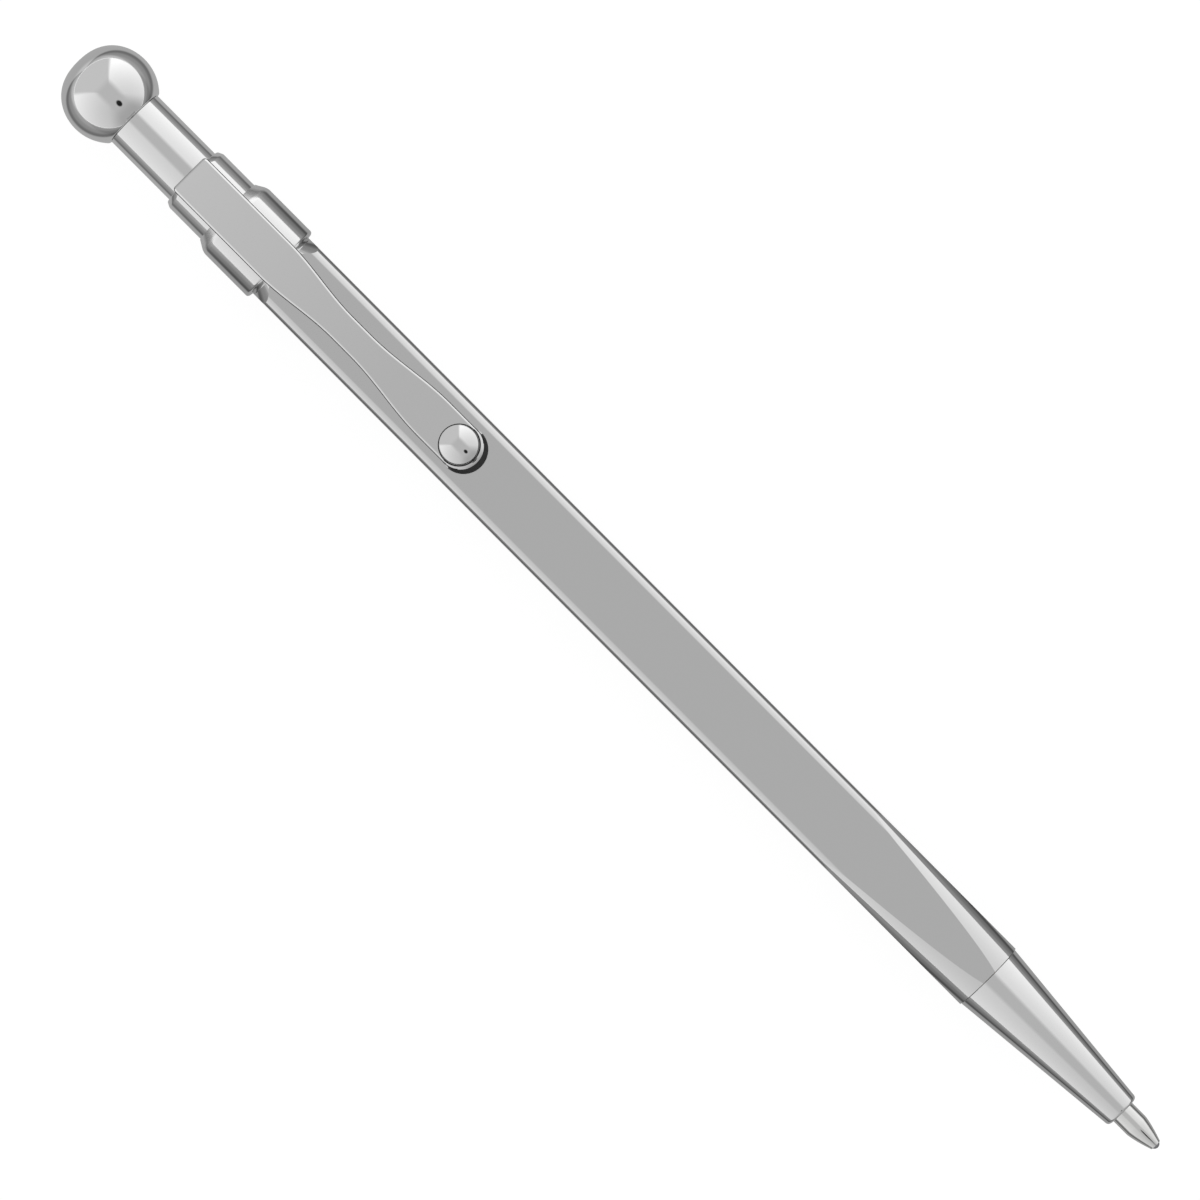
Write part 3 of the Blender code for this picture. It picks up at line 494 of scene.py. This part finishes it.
# %% Metals
def metal(name, colour, along, around, roughness, dulling, depth):
    """A metal whose shine comes from the polish group."""
    values = {"Around": around, "Along": along, "Roughness": roughness}
    values.update({"Dulling": dulling, "Depth": depth})
    return skinned(name, colour, 1.0, polish, values)


turned_chrome = metal("turned_chrome", (0.87, 0.87, 0.87), 9000, 300, 0.05, 0.02, 0.02)
knob_chrome = metal("knob_chrome", (0.88, 0.88, 0.88), 9000, 300, 0.04, 0.02, 0.01)
nose_chrome = metal("nose_chrome", (0.85, 0.85, 0.85), 9000, 300, 0.05, 0.02, 0.02)
band_chrome = metal("band_chrome", (0.88, 0.88, 0.88), 9000, 300, 0.05, 0.02, 0.02)
drawn_chrome = metal("drawn_chrome", (0.78, 0.78, 0.78), 120, 6000, 0.05, 0.02, 0.02)
clip_chrome = metal("clip_chrome", (0.88, 0.88, 0.88), 120, 6000, 0.05, 0.02, 0.02)
# This near-black steel is painted shade: it darkens the clip's end, the outer sides of its
# edge and the ball's seat.
painted_shade_steel = metal("painted_shade_steel", (0.07, 0.07, 0.07), 900, 900, 0.30, 0.10, 0.20)
ball_chrome = metal("ball_chrome", (0.87, 0.87, 0.87), 500, 500, 0.04, 0.02, 0.01)
nib_metal = metal("nib_metal", (0.88, 0.88, 0.87), 12000, 400, 0.05, 0.02, 0.02)
turned_brass = metal("turned_brass", (0.80, 0.62, 0.32), 12000, 300, 0.18, 0.10, 0.10)
spring_steel = metal("spring_steel", (0.60, 0.60, 0.62), 4000, 4000, 0.20, 0.10, 0.05)
carbide = metal("carbide", (0.42, 0.42, 0.44), 20000, 20000, 0.12, 0.10, 0.10)

# %% [markdown]
# ## The knob
# The part the thumb presses: a ball with its back pressed a little flat, cut off square where
# the stem comes out. Its back is a half wave of sine, swollen a little, and its front is a
# true arc. Both are pulled point by point and spun. Its hole takes the stud that holds it.

# %% Knob
KNOB_RADIUS, KNOB_CENTRE, KNOB_NECK_RADIUS = 0.0044, 0.00407, 0.00313
BACK_SWELL = 2 / 2.4
NECK_ROUND = 0.00009
STUD_HOLE, STUD_DEPTH = 0.00125, 0.0028
outline = []
for turn in evenly(0.0, QUARTER, 32)[:-1]:
    back = KNOB_CENTRE * (1 - math.cos(turn))
    outline.append((back, KNOB_RADIUS * math.sin(turn) ** BACK_SWELL))
neck_turn = math.asin(KNOB_NECK_RADIUS / KNOB_RADIUS)
for turn in evenly(QUARTER, 2 * QUARTER - neck_turn, 24):
    outline.append((KNOB_CENTRE - KNOB_RADIUS * math.cos(turn), KNOB_RADIUS * math.sin(turn)))
neck = outline[-1]
outline += [
    (knob_neck_end, STUD_HOLE),
    (knob_neck_end - STUD_DEPTH, STUD_HOLE),
    (knob_neck_end - STUD_DEPTH - STUD_HOLE / 2, 0),
]
knob = draw_outline("knob_polished", outline)
round_corners(knob, [neck], NECK_ROUND, 5)
spin_round(knob, sides=160)
finish_piece(knob, "plunger", knob_chrome, "polished_metal", "knob")

# %% [markdown]
# ## The stem
# A plain straight tube that slides in the collar. Its edges are broken, and its bore carries
# the stud behind and the click cam in front, so it is spun as a tube with a wall across it.

# %% Stem
STEM_RADIUS, STEM_WALL = 0.0029, 0.00045
STEM_REAR_GAP, STUD_WALL = 0.00002, 0.0026
stem_rear = knob_neck_end + STEM_REAR_GAP
outline = [
    (stem_rear, STUD_HOLE),
    (stem_rear, STEM_RADIUS),
    (stem_front, STEM_RADIUS),
    (stem_front, STEM_RADIUS - STEM_WALL),
    (stem_rear + STUD_WALL, STEM_RADIUS - STEM_WALL),
    (stem_rear + STUD_WALL, STUD_HOLE),
]
stem = draw_outline("stem_polished", outline, closed=True)
round_corners(stem, outline[1:3], 0.00005)
spin_round(stem)
finish_piece(stem, "plunger", turned_chrome, "polished_metal", "plunger_stem")

# %% [markdown]
# ## Collar and band
# The small collar guides the stem and has a lead at its mouth. The band in front of it hides
# where the collar meets the barrel: its rear edge is a short cone, a little less polished than
# the rest, and its front edge is rounded very slightly to catch a thin line of light.

# %% Collar
BORE = 0.00295
COLLAR_RADIUS, COLLAR_FALL, COLLAR_LEAD = 0.0034, 0.00025, 0.0005
collar_front = barrel_rear - SEAM
outline = [
    (bush_rear, BORE),
    (bush_rear, COLLAR_RADIUS - COLLAR_FALL),
    (bush_rear + COLLAR_LEAD, COLLAR_RADIUS),
    (collar_front, COLLAR_RADIUS),
    (collar_front, BORE),
]
collar = draw_outline("collar_polished", outline, closed=True)
round_corners(collar, outline[1:3], 0.00008, 3)
spin_round(collar)
finish_piece(collar, "case", turned_chrome, "polished_metal", "head_bush")

# %% Band
BAND_RADIUS, BAND_LIP = 0.004075, 0.00009
CONE_LENGTH = 0.0010
SATIN, SHINY = 0.22, 0.05
outline = [
    (band_rear, COLLAR_RADIUS + SEAM),
    (band_rear, COLLAR_RADIUS + BAND_LIP),
    (band_rear + CONE_LENGTH, BAND_RADIUS),
    (band_front, BAND_RADIUS),
    (band_front, COLLAR_RADIUS + SEAM),
]
band = draw_outline("band_polished", outline, closed=True)
round_corners(band, outline[3:4], 0.00025, 6)
round_corners(band, outline[2:3], 0.0003, 8)
spin_round(band)
finish_piece(band, "case", band_chrome, "polished_metal", "clip_band")
tree = band_chrome.node_tree
edge = [place(band_rear + CONE_LENGTH * share).x for share in (0.9, 1.3)]
satin = step_node(tree, place_node(tree)["X"], *edge, SATIN, SHINY)
tree.links.new(satin, tree.nodes["Group"].inputs["Roughness"])
print("the band's cone is satin up to", edge)

# %% [markdown]
# ## The barrel
# A drawn tube: its section is a square with rounded corners. A lathe has then cut both ends
# round: the rear to a short cone, and the front to a long gentle one, which leaves each flat
# ending in a pointed arch. So a rounded square plane is pulled forward to the tube's length,
# and a turned shape, which holds both cones, trims it.


# %% Cutting helper
def cut(piece, tool, operation):
    """Cut or trim a piece with a tool, which is then thrown away."""
    choose(piece)
    modifier = piece.modifiers.new("cut", "BOOLEAN")
    modifier.operation = operation
    modifier.solver = "EXACT"
    modifier.object = tool
    bpy.ops.object.modifier_apply(modifier="cut")
    bpy.data.objects.remove(tool, do_unlink=True)
    close_up(piece, 1e-6)


# %% Barrel tube
CORNER, CORNER_STEPS = 0.00095, 24
bpy.ops.object.select_all(action="DESELECT")
bpy.ops.mesh.primitive_plane_add(
    size=barrel_half_width * 2, location=place(barrel_rear), rotation=(0, QUARTER, 0)
)
barrel = bpy.context.object
barrel.name = "barrel_drawn"
bpy.ops.object.transform_apply(location=True, rotation=True, scale=True)
pick(barrel, lambda point: True)
bpy.ops.mesh.bevel(
    offset=CORNER, offset_type="OFFSET", segments=CORNER_STEPS, affect="VERTICES"
)
bpy.ops.mesh.select_all(action="SELECT")
bpy.ops.mesh.extrude_region_move(
    TRANSFORM_OT_translate={"value": (nose_joint - barrel_rear, 0, 0)}
)
close_up(barrel)
print("the tube has", len(barrel.data.polygons), "faces before it is turned")

# %% Barrel ends and bore
REAR_CONE, FRONT_SLOPE, OVERRUN = 0.0016, 0.0555, 0.001
neck_front = band_front + SEAM
corner_reach = (barrel_half_width - CORNER) * math.sqrt(2) + CORNER
clear = corner_reach + OVERRUN
turned_front = barrel_half_width + 0.000075
outline = [
    (barrel_rear - OVERRUN, 0),
    (barrel_rear - OVERRUN, COLLAR_RADIUS),
    (neck_front, COLLAR_RADIUS),
    (neck_front, barrel_half_width + SEAM),
    (neck_front + REAR_CONE, corner_reach),
    (neck_front + REAR_CONE + OVERRUN, clear),
    (nose_joint - (clear - turned_front) / FRONT_SLOPE, clear),
    (nose_joint, turned_front),
    (nose_joint + OVERRUN, turned_front),
    (nose_joint + OVERRUN, 0),
]
lathe = draw_outline("lathe", outline)
spin_round(lathe, sides=240)
cut(barrel, lathe, "INTERSECT")
bore = draw_outline("bore", rod_outline(0.0, nose_joint + 0.01, BORE))
spin_round(bore, sides=96)
cut(barrel, bore, "DIFFERENCE")
finish_piece(barrel, "case", drawn_chrome, "polished_metal", "barrel", sharp=6.5)

# %% [markdown]
# ## The nose
# The cone unscrews to let a new refill in. It is turned, with a small round at its mouth and a
# fine broken edge at the joint, which shows in the photograph as one thin dark line. Inside
# are the spring's seat and the pocket for the threaded insert.

# %% Nose cone
NIB_RADIUS, NIB_PLAY = 0.001175, 0.000075
MOUTH_RADIUS, MOUTH_DEPTH = 0.00175, 0.0052
CONE_REAR_RADIUS, NOSE_LENGTH = 0.00339, 0.0171
POCKET_RADIUS, POCKET_DEPTH = 0.0028, 0.0045
SPRING_ROOM = 0.00185
slope = (CONE_REAR_RADIUS - MOUTH_RADIUS) / NOSE_LENGTH
cone_rear = nose_joint + SEAM
mouth_rear = nose_front - MOUTH_DEPTH
pocket_front = nose_joint + POCKET_DEPTH
outline = [
    (cone_rear, POCKET_RADIUS),
    (cone_rear, CONE_REAR_RADIUS - slope * SEAM),
    (nose_front, MOUTH_RADIUS),
    (nose_front, NIB_RADIUS + NIB_PLAY),
    (mouth_rear, NIB_RADIUS + NIB_PLAY),
    (mouth_rear, SPRING_ROOM),
    (pocket_front, SPRING_ROOM),
    (pocket_front, POCKET_RADIUS),
]
cone = draw_outline("nose_polished", outline, closed=True)
round_corners(cone, outline[2:3], 0.0003, 8)
round_corners(cone, outline[1:2], 0.00006, 3)
round_corners(cone, outline[3:4], 0.00006, 2)
spin_round(cone)
finish_piece(cone, "nose", nose_chrome, "polished_metal", "nose_cone")

# %% [markdown]
# ## Nib and writing ball
# The nib is a slim turned pin: a shank that is pressed in the refill, a cylinder, and a long
# taper whose rim is rolled over the ball. The ball turns in its socket and carries the ink. A
# cube cut finely and cast onto a sphere gives it even square faces, without poles.

# %% Nib
BALL_RADIUS, SOCKET_RADIUS = 0.00045, 0.0005
INK_BORE, SHANK_RADIUS = 0.0003, 0.0006
RIM_FORWARD, RIM_WALL = 0.33, 0.00006
TAPER_LENGTH, TAPER_CURVE = 0.0028, 1.35
nib_rear, nib_shoulder = 0.11197243, 0.11887243
ball_centre = pen_length - BALL_RADIUS
rim = ball_centre + BALL_RADIUS * RIM_FORWARD
rim_inner = math.sqrt(SOCKET_RADIUS**2 - (rim - ball_centre) ** 2)
taper_rear = pen_length - TAPER_LENGTH
outline = [
    (nib_rear, INK_BORE),
    (nib_rear, SHANK_RADIUS),
    (nib_shoulder, SHANK_RADIUS),
    (nib_shoulder, NIB_RADIUS),
]
for share in evenly(0.0, 1.0, 24):
    fall = (NIB_RADIUS - rim_inner - RIM_WALL) * share**TAPER_CURVE
    outline.append((taper_rear + (rim - taper_rear) * share, NIB_RADIUS - fall))
rim_turn = math.atan2(rim_inner, rim - ball_centre)
bore_turn = math.pi - math.asin(INK_BORE / SOCKET_RADIUS)
for turn in evenly(rim_turn, bore_turn, 16):
    station = ball_centre + SOCKET_RADIUS * math.cos(turn)
    outline.append((station, SOCKET_RADIUS * math.sin(turn)))
nib = draw_outline("nib_turned", outline, closed=True)
spin_round(nib, sides=96)
finish_piece(nib, "refill", nib_metal, "nib_metal", "nib")

# %% Writing ball
bpy.ops.object.select_all(action="DESELECT")
bpy.ops.mesh.primitive_cube_add(size=BALL_RADIUS, location=place(ball_centre))
writing_ball = bpy.context.object
writing_ball.name = "writing_ball_ground"
bpy.ops.object.mode_set(mode="EDIT")
bpy.ops.mesh.select_all(action="SELECT")
bpy.ops.mesh.subdivide(number_cuts=15)
bpy.ops.object.mode_set(mode="OBJECT")
casting = writing_ball.modifiers.new("cast", "CAST")
casting.factor = 1.0
casting.size = BALL_RADIUS
casting.use_radius_as_size = False
bpy.ops.object.modifier_apply(modifier="cast")
bpy.ops.object.transform_apply(location=True, rotation=True, scale=True)
finish_piece(writing_ball, "ball", carbide, "carbide", "writing_ball")

# %% [markdown]
# ## The clip
# A plate of springy metal, pinched at its waist. Half of its outline is pulled point by point,
# mirrored and filled, then pulled down to its thickness. The end slopes out below the ball,
# and the top edge is rounded a little, which shows as a bright line down each side.

# %% Clip outline
CLIP_REAR = bush_rear - 0.0002
CLIP_UNDER, CLIP_TOP = 0.004125, 0.004825
HEAD_WIDTH, WAIST_WIDTH, END_WIDTH = 0.00412, 0.00272, 0.00420
NARROWS, NARROW, WIDENS, WIDE = 0.0107, 0.0195, 0.0217, 0.0310
HEAD_ROUND = 0.0004
CLIP_BALL_PLACE = 0.0341


def ease(share):
    """A smooth step from 0 to 1."""
    return (1 - math.cos(math.pi * min(max(share, 0), 1))) / 2


def clip_half_width(along):
    """Half the plate's width at a distance from its head."""
    inward = ease((along - NARROWS) / (NARROW - NARROWS))
    outward = ease((along - WIDENS) / (WIDE - WIDENS))
    width = HEAD_WIDTH + (WAIST_WIDTH - HEAD_WIDTH) * inward
    return (width + (END_WIDTH - WAIST_WIDTH) * outward) / 2


half = [(0.0, 0.0)]
for turn in evenly(QUARTER, 0.0, 8):
    across = HEAD_WIDTH / 2 - HEAD_ROUND * (1 - math.cos(turn))
    half.append((HEAD_ROUND * (1 - math.sin(turn)), across))
for along in evenly(NARROWS, WIDE, 60):
    half.append((along, clip_half_width(along)))
for turn in evenly(QUARTER, 0.0, 32):
    reach = END_WIDTH / 2
    half.append((CLIP_BALL_PLACE + reach * math.cos(turn), reach * math.sin(turn)))
spots = [place(CLIP_REAR + along, CLIP_TOP, across) for along, across in half]
clip = draw_spots("clip_sprung", spots)
bpy.ops.object.mode_set(mode="OBJECT")
print("half the clip's outline has", len(spots), "points")

# %% Clip plate
CLIP_ROUND, END_DRAFT = 0.00024, 0.00065
mirror = clip.modifiers.new("mirror", "MIRROR")
mirror.use_axis = (False, True, False)
mirror.merge_threshold = 1e-6
bpy.ops.object.modifier_apply(modifier="mirror")
pick(clip, lambda point: True)
bpy.ops.mesh.edge_face_add()
bpy.ops.mesh.extrude_region_move(
    TRANSFORM_OT_translate={"value": (0, 0, CLIP_UNDER - CLIP_TOP)}
)
bpy.ops.object.mode_set(mode="OBJECT")
ball_station = CLIP_REAR + CLIP_BALL_PLACE
ball_foot = place(ball_station)
for point in clip.data.vertices:
    if point.co.z < axis_height + CLIP_UNDER + 1e-6 and point.co.x > ball_foot.x:
        away = Vector((point.co.x - ball_foot.x, point.co.y, 0)).normalized()
        point.co += away * END_DRAFT * away.x
close_up(clip)
top = axis_height + CLIP_TOP
pick(clip, lambda point: point.z > top - 1e-6)
bpy.ops.mesh.bevel(offset=CLIP_ROUND, segments=4, affect="EDGES")
bpy.ops.object.mode_set(mode="OBJECT")
print("clip plate:", len(clip.data.polygons), "faces")

# %% [markdown]
# ## The clip's foot and ball
# A small foot under the head sits over the collar. It is a block joined to the plate, hollowed
# below by a rod as thick as the collar. The ball set in the clip's far end slides over cloth:
# a low dome, spun about an upright line. It stands in a narrow hole with a wider shallow
# groove round it, which shows as a dark ring: partly the groove's own shade, and partly
# painted shade, since the seat's faces take the near-black steel given below.

# %% Clip foot and saddle
FOOT_LENGTH, FOOT_WIDTH, FOOT_OVERLAP = 0.0038, 0.0028, 0.00035
SADDLE_RADIUS = 0.00345
foot_under = math.sqrt(SADDLE_RADIUS**2 - (FOOT_WIDTH / 2) ** 2) + SEAM
foot_height = CLIP_UNDER + FOOT_OVERLAP - foot_under
bpy.ops.object.select_all(action="DESELECT")
bpy.ops.mesh.primitive_cube_add(
    size=1, location=place(bush_rear + FOOT_LENGTH / 2, foot_under + foot_height / 2)
)
foot = bpy.context.object
foot.scale = (FOOT_LENGTH, FOOT_WIDTH, foot_height)
bpy.ops.object.transform_apply(location=True, rotation=True, scale=True)
cut(clip, foot, "UNION")
saddle = draw_outline("saddle", rod_outline(CLIP_REAR - 0.001, band_rear, SADDLE_RADIUS))
spin_round(saddle, sides=160)
cut(clip, saddle, "DIFFERENCE")
print("the foot is", foot_height, "high")

# %% Clip ball
CROWN_RADIUS, CROWN_REACH, SHOULDER_RADIUS = 0.0028, 0.00168, 0.0003
SHOULDER_HEIGHT, BALL_BOTTOM = CLIP_TOP - 0.00004, barrel_half_width + 0.0001


def upright(name, outline):
    """Spin (height, radius) pairs about the upright line through the clip's ball."""
    spots = [place(ball_station + radius, height) for height, radius in outline]
    piece = draw_spots(name, spots)
    spin_round(piece, 96, ball_foot, (0, 0, 1))
    return piece


crown_turn = math.asin(CROWN_REACH / CROWN_RADIUS)
shoulder_centre = (CROWN_RADIUS - SHOULDER_RADIUS) * math.sin(crown_turn)
crown_centre = SHOULDER_HEIGHT - (CROWN_RADIUS - SHOULDER_RADIUS) * math.cos(crown_turn)
ball_reach = shoulder_centre + SHOULDER_RADIUS
outline = []
for turn in evenly(0.0, QUARTER, 16):
    height = SHOULDER_HEIGHT - (SHOULDER_HEIGHT - BALL_BOTTOM) * math.cos(turn)
    outline.append((height, ball_reach * math.sin(turn)))
for turn in evenly(QUARTER, crown_turn, 24)[1:]:
    height = SHOULDER_HEIGHT + SHOULDER_RADIUS * math.cos(turn)
    outline.append((height, shoulder_centre + SHOULDER_RADIUS * math.sin(turn)))
for turn in evenly(crown_turn, 0.0, 16)[1:]:
    height = crown_centre + CROWN_RADIUS * math.cos(turn)
    outline.append((height, CROWN_RADIUS * math.sin(turn)))
clip_ball = upright("clip_ball_polished", outline)

# %% Seat of the clip's ball
GROOVE_DEPTH, GROOVE_FORWARD = 0.00035, 0.00005
hole_reach, groove_reach = ball_reach + 0.00002, ball_reach + 0.00011
for bottom, reach, forward in (
    (barrel_half_width, hole_reach, 0),
    (CLIP_TOP - GROOVE_DEPTH, groove_reach, GROOVE_FORWARD),
):
    seat = upright("seat", rod_outline(bottom, CLIP_TOP + 0.001, reach))
    seat.data.transform(Matrix.Translation((forward, 0, 0)))
    cut(clip, seat, "DIFFERENCE")
finish_piece(clip, "clip", clip_chrome, "polished_metal", "clip", sharp=28)
finish_piece(clip_ball, "clip", ball_chrome, "polished_metal", "clip_ball")

# %% [markdown]
# ## The clip's painted shade and sheen
# The sloped end below the ball, the steep outer sides of the rounded top edge and the ball's
# seat take a second, near-black material: painted shade, where the shadow under the clip's
# end, the dark line beside its edges and the dark ring round the ball fall. These faces are
# found by their slope and place. The plate's colour is painted lighter at the head and darker
# towards the ball, a painted sheen, with a painted shadow line at the very edge of the head.

# %% Painted shade on the clip's end, edge sides and seat
# The second material is near-black painted shade for the faces picked below.
clip.data.materials.append(painted_shade_steel)
seat_reach = groove_reach + GROOVE_FORWARD + 0.00001
for face in clip.data.polygons:
    away = face.center - ball_foot
    in_end = 0.1 < face.normal.x and 0.3 < face.normal.z < 0.85 and away.x > 0
    in_end = in_end and face.center.z < top - CLIP_ROUND
    in_side = 0.02 < face.normal.z < 0.65 and abs(face.normal.y) > 0.3
    in_side = in_side and face.center.z > top - CLIP_ROUND
    if in_end or in_side or math.hypot(away.x, away.y) < seat_reach:
        face.material_index = 1
print("cut faces:", sum(face.material_index for face in clip.data.polygons))

# %% The clip's painted sheen, lightest at the head
PAINTED_SHEEN_LENGTH, HEAD_PAINTED_SHEEN, BALL_PAINTED_SHEEN = 0.026, 0.99, 0.84
HEAD_SHADE_LINE = (0.00005, 0.0003)
tree = clip_chrome.node_tree
spot = place_node(tree)
head = place(CLIP_REAR).x
# Painted sheen: the base colour falls from light at the head to darker towards the ball.
painted_light = step_node(tree, spot["X"], head, head + PAINTED_SHEEN_LENGTH, HEAD_PAINTED_SHEEN, BALL_PAINTED_SHEEN, smooth=False)
# Painted shade: a darker line along the head's rear edge.
edge = step_node(tree, spot["X"], *(head + reach for reach in HEAD_SHADE_LINE), 0.5, 1.0)
painted_light = sum_node(tree, "MULTIPLY", painted_light, edge)
tree.links.new(painted_light, tree.nodes["Principled BSDF"].inputs["Base Color"])
print("the clip's tone has", len(tree.nodes), "nodes")

# %% [markdown]
# ## The threaded bush
# When the nose is unscrewed, the brass bush it screws onto is seen. A thread is a ridge wound
# round a core, so a small pointed section is wound with the Screw modifier, its ends are
# filled, and it is joined to a turned core.


# %% Winding helper
def wind_round(piece, turns, pitch, steps):
    """Wind a closed outline round the pen's axis, and fill its two ends."""
    bpy.ops.object.mode_set(mode="OBJECT")
    piece.data.transform(Matrix.Translation((0, 0, -axis_height)))
    wind = piece.modifiers.new("wind", "SCREW")
    wind.axis = "X"
    wind.steps = wind.render_steps = steps
    wind.iterations = turns
    wind.screw_offset = pitch
    wind.use_merge_vertices = False
    bpy.ops.object.modifier_apply(modifier="wind")
    bpy.ops.object.mode_set(mode="EDIT")
    bpy.ops.mesh.select_mode(type="EDGE")
    bpy.ops.mesh.select_all(action="DESELECT")
    bpy.ops.mesh.select_non_manifold()
    bpy.ops.mesh.edge_face_add()
    bpy.ops.object.mode_set(mode="OBJECT")
    piece.data.transform(Matrix.Translation((0, 0, axis_height)))
    close_up(piece)


# %% Threaded bush
PITCH, THREADS = 0.00075, 4
THREAD_ROOT, THREAD_TOP = 0.0021, 0.0023
RIDGE_ROOT, RIDGE_CREST, RIDGE_SUNK = 0.00021, 0.00006, 0.0001
BUSH_RADIUS, BUSH_REAR, BUSH_FRONT = 0.0029, 0.0080, 0.00375
outline = [
    (nose_joint - BUSH_REAR, SPRING_ROOM),
    (nose_joint - BUSH_REAR, BUSH_RADIUS),
    (nose_joint - SEAM, BUSH_RADIUS),
    (nose_joint - SEAM, THREAD_ROOT),
    (nose_joint + BUSH_FRONT, THREAD_ROOT),
    (nose_joint + BUSH_FRONT, SPRING_ROOM),
]
bush = draw_outline("bush_threaded", outline, closed=True)
round_corners(bush, outline[1:3], 0.0001, 2)
spin_round(bush, sides=96)
start = nose_joint + 0.00022
ridge_outline = [
    (start - RIDGE_ROOT, THREAD_ROOT - RIDGE_SUNK),
    (start - RIDGE_CREST, THREAD_TOP),
    (start + RIDGE_CREST, THREAD_TOP),
    (start + RIDGE_ROOT, THREAD_ROOT - RIDGE_SUNK),
]
ridge = draw_outline("ridge", ridge_outline, closed=True)
wind_round(ridge, THREADS, PITCH, 48)
cut(bush, ridge, "UNION")
finish_piece(bush, "case", turned_brass, "brass", "front_bush")

# %% [markdown]
# ## The return spring
# The knob goes one millimetre past the place where the tip stays out, and the spring gives way
# to it. A spring that keeps its length can't, so it is wound that much shorter than the room
# it sits in, and the refill stays clear of it at every place of the knob. It is a small circle
# wound like the thread, whose two ends are filled.

# %% Return spring
PRESS_ROOM, WIRE_RADIUS, CURLS = 0.0011, 0.00015, 9
low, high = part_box("return_spring")
coil_radius = (high[2] - low[2]) / 2 - WIRE_RADIUS
first = low[0] + PRESS_ROOM + WIRE_RADIUS - place(0).x
last = high[0] - WIRE_RADIUS - place(0).x
outline = []
for turn in evenly(0.0, math.tau, 12)[:-1]:
    station = first + WIRE_RADIUS * math.cos(turn)
    outline.append((station, coil_radius + WIRE_RADIUS * math.sin(turn)))
spring = draw_outline("spring_wound", outline, closed=True)
wind_round(spring, CURLS, (last - first) / CURLS, 36)
finish_piece(spring, "nose_travel", spring_steel, "spring_steel", "return_spring", sharp=50)

# %% [markdown]
# ## The pieces inside
# The click mechanism and the refill's tube are right as the CAD has them, so they keep their
# shapes and only get a finish. Moulded plastic is never quite even: its gloss wanders with the
# flow of the melt, and its skin has a very fine texture. A second skin group gives both.

# %% The moulding group
FLOW_SCALE, SKIN_SCALE = 350.0, 9000.0
moulding, given, wanted, spot = new_group(
    "moulded_skin", {"Roughness": 0.4, "Wander": 0.15, "Depth": 0.1}
)
flow, grain = (noise_node(moulding, spot, scale) for scale in (FLOW_SCALE, SKIN_SCALE))
wander = sum_node(moulding, "MULTIPLY", flow, given["Wander"])
fill_group(moulding, given, wanted, wander, grain)


# %% Plastics and ink
def plastic(name, colour, roughness, wander, depth):
    """A moulded plastic, or a paste with such a skin."""
    values = {"Roughness": roughness, "Wander": wander, "Depth": depth}
    return skinned(name, colour, 0.0, moulding, values)


white_plastic = plastic("white_plastic", (0.82, 0.82, 0.79), 0.35, 0.20, 0.15)
black_plastic = plastic("black_plastic", (0.035, 0.035, 0.04), 0.35, 0.20, 0.15)
tube_plastic = plastic("tube_plastic", (0.76, 0.80, 0.84), 0.22, 0.15, 0.05)
ink = plastic("ink_paste", (0.02, 0.04, 0.25), 0.25, 0.10, 0.02)

# %% Finishes for the pieces inside
INSIDE = {
    "knob_stud": turned_brass,
    "nose_insert": turned_brass,
    "thrust_cam": white_plastic,
    "guide_sleeve": white_plastic,
    "refill_end_plug": white_plastic,
    "tip_plug": white_plastic,
    "rotor_cam": black_plastic,
    "refill_tube": tube_plastic,
    "ink_column": ink,
}
for node, material in INSIDE.items():
    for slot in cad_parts[node].material_slots:
        slot.material = material
    print(node, "is", material.name)
